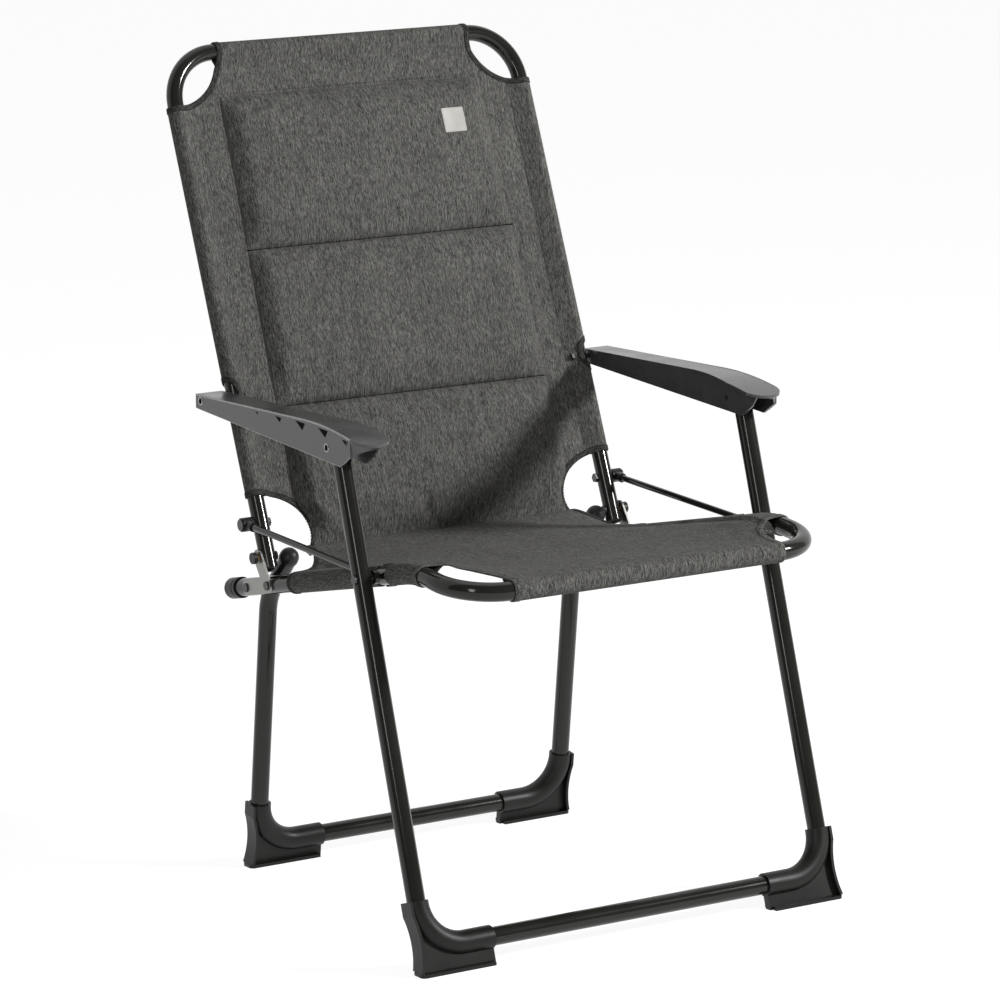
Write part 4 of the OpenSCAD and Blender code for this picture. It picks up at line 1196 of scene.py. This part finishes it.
def wedge(name, mat, corners, thick):
    """Three-cornered plate between places on the armrest, pulled outwards to its thickness."""
    bpy.ops.object.select_all(action="DESELECT")
    bpy.ops.mesh.primitive_circle_add(vertices=3, radius=10 * MM, fill_type="NGON")
    plate = bpy.context.object
    for v, place in zip(plate.data.vertices, corners):
        v.co = on_arm(*place)
    start_edit(plate)
    bpy.ops.mesh.extrude_region_move(TRANSFORM_OT_translate={"value": (thick, 0, 0)})
    return settle(plate, name, mat)


def pocket_shade(name, side, at, size):
    """Near-black plate on the floor of one triangular pocket: painted shade that makes the pocket
    look deep.
    """
    top = arm_top(at * MM) - 4 * MM
    x = side * (ARM_OUT - 0.75 * MM)
    corners = [(at + 1.3 * size, -0.2), (at - 1.1 * size, -0.2), (at - 0.5 * size, 0.6 - size)]
    return wedge(name, PAINTED_SHADE, [(x, u * MM, top + drop * MM) for u, drop in corners],
                 side * 0.35 * MM)


def nose_gusset(name, side):
    """The inner wall runs on to the nose in a slope."""
    x = side * (ARM_WIDE + 12.4 * MM)
    corners = [(-54, -1.6)] + [(u, arm_top(u * MM) / MM - 3.3) for u in (-66, -54)]
    return wedge(name, ARM_PLASTIC, [(x, u * MM, h * MM) for u, h in corners], side * 2.2 * MM)


def bolt_socket(name, side, u):
    """Raised rim round a hexagon socket in a bolt's head; the socket is a flat near-black plate,
    painted shade inside the hole.
    """
    place = on_arm(side * (ARM_OUT - 0.05 * MM), u, 0)
    bpy.ops.object.select_all(action="DESELECT")
    bpy.ops.mesh.primitive_torus_add(major_radius=4.5 * MM, minor_radius=0.8 * MM,
                                     major_segments=32, minor_segments=8, location=place,
                                     rotation=(0, math.pi / 2, 0))
    rim = bpy.context.object
    start_edit(rim)
    settle(rim, name + "_rim", RIM)
    bpy.ops.object.select_all(action="DESELECT")
    bpy.ops.mesh.primitive_cylinder_add(vertices=6, radius=3.6 * MM, depth=0.7 * MM,
                                        location=place, rotation=(0, math.pi / 2, 0))
    hexagon = bpy.context.object
    start_edit(hexagon)
    bpy.ops.mesh.bevel(offset=0.2 * MM, segments=2, affect="EDGES")
    settle(hexagon, name + "_socket", PAINTED_SHADE)
    return rim, hexagon


def plan_edge(inward):
    """Points along the nose's rim, seen from above, from the outer wall round to the flare."""
    r, bend = NOSE_ROUND, NOSE_ROUND - inward
    edge = [(-46 * MM, ARM_OUT - inward)]
    for i in range(TIP):
        a = math.radians(90) * i / (TIP - 1)
        edge.append((-54 * MM - bend * math.sin(a), ARM_OUT - r + bend * math.cos(a)))
    for i in range(7):
        a = math.radians(60) * i / 6
        edge.append((-48 * MM - bend * math.cos(a), ARM_WIDE + r - bend * math.sin(a)))
    return edge


def nose_skirt(name, side):
    """Thin wall under the nose's rim: as deep as the side wall where it starts, gone at the tip."""
    edge, under = plan_edge(1.6 * MM), plan_edge(8 * MM)
    far = [0.0]
    for a, b in zip(edge, edge[1:]):
        far.append(far[-1] + math.dist(a, b))
    last = len(edge) - 1
    bpy.ops.object.select_all(action="DESELECT")
    bpy.ops.mesh.primitive_grid_add(x_subdivisions=last, y_subdivisions=2, size=1)
    skirt = bpy.context.object
    for v in skirt.data.vertices:
        i = round((v.co.x + 0.5) * last)
        low = v.co.y + 0.5
        deep = SKIRT_MIN + SKIRT_MORE * max(1 - far[i] / far[TIP], 0) ** 1.6
        # it leans inwards below, more and more as it leaves the side wall
        lean = low * smooth(0, 26 * MM, far[i]) * min(deep / (9 * MM), 1)
        u, x = (a + (b - a) * lean for a, b in zip(edge[i], under[i]))
        v.co = on_arm(side * x, u, arm_top(edge[i][0]) - 3.1 * MM - deep * low)
    start_edit(skirt)
    bpy.ops.mesh.solidify(thickness=1.3 * MM)
    return settle(skirt, name, ARM_PLASTIC)


# near-black plastic for the pockets' floors and the bolts' sockets: painted shade in recesses
PAINTED_SHADE = moulded_plastic("painted_recess_shade", (0.004, 0.004, 0.004), 0.7, shine=0.03)
RIM = metal("bolt_rim", (0.42, 0.42, 0.41), 0.28)
for side, hand in ((1, "right"), (-1, "left")):
    trim = [highlight_bead("armrest_highlight_bead_" + hand, side, lambda u: arm_top(u) - 0.55 * MM, 1.1 * MM),
            highlight_bead("armrest_low_highlight_bead_" + hand, side, arm_foot, 0.55 * MM),
            nose_skirt("armrest_nose_" + hand, side),
            nose_gusset("armrest_gusset_" + hand, side)]
    trim += [pocket_shade("pocket_%s_%d" % (hand, i + 1), side, *p) for i, p in enumerate(POCKETS)]
    for end, u in (("front", 0), ("rear", LINK)):
        trim += bolt_socket("arm_bolt_%s_%s" % (end, hand), side, u)
    for piece in trim:
        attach(piece, "armrests")


# ---- write_sizes, which only imports json ----


def write_sizes():
    import json


write_sizes()
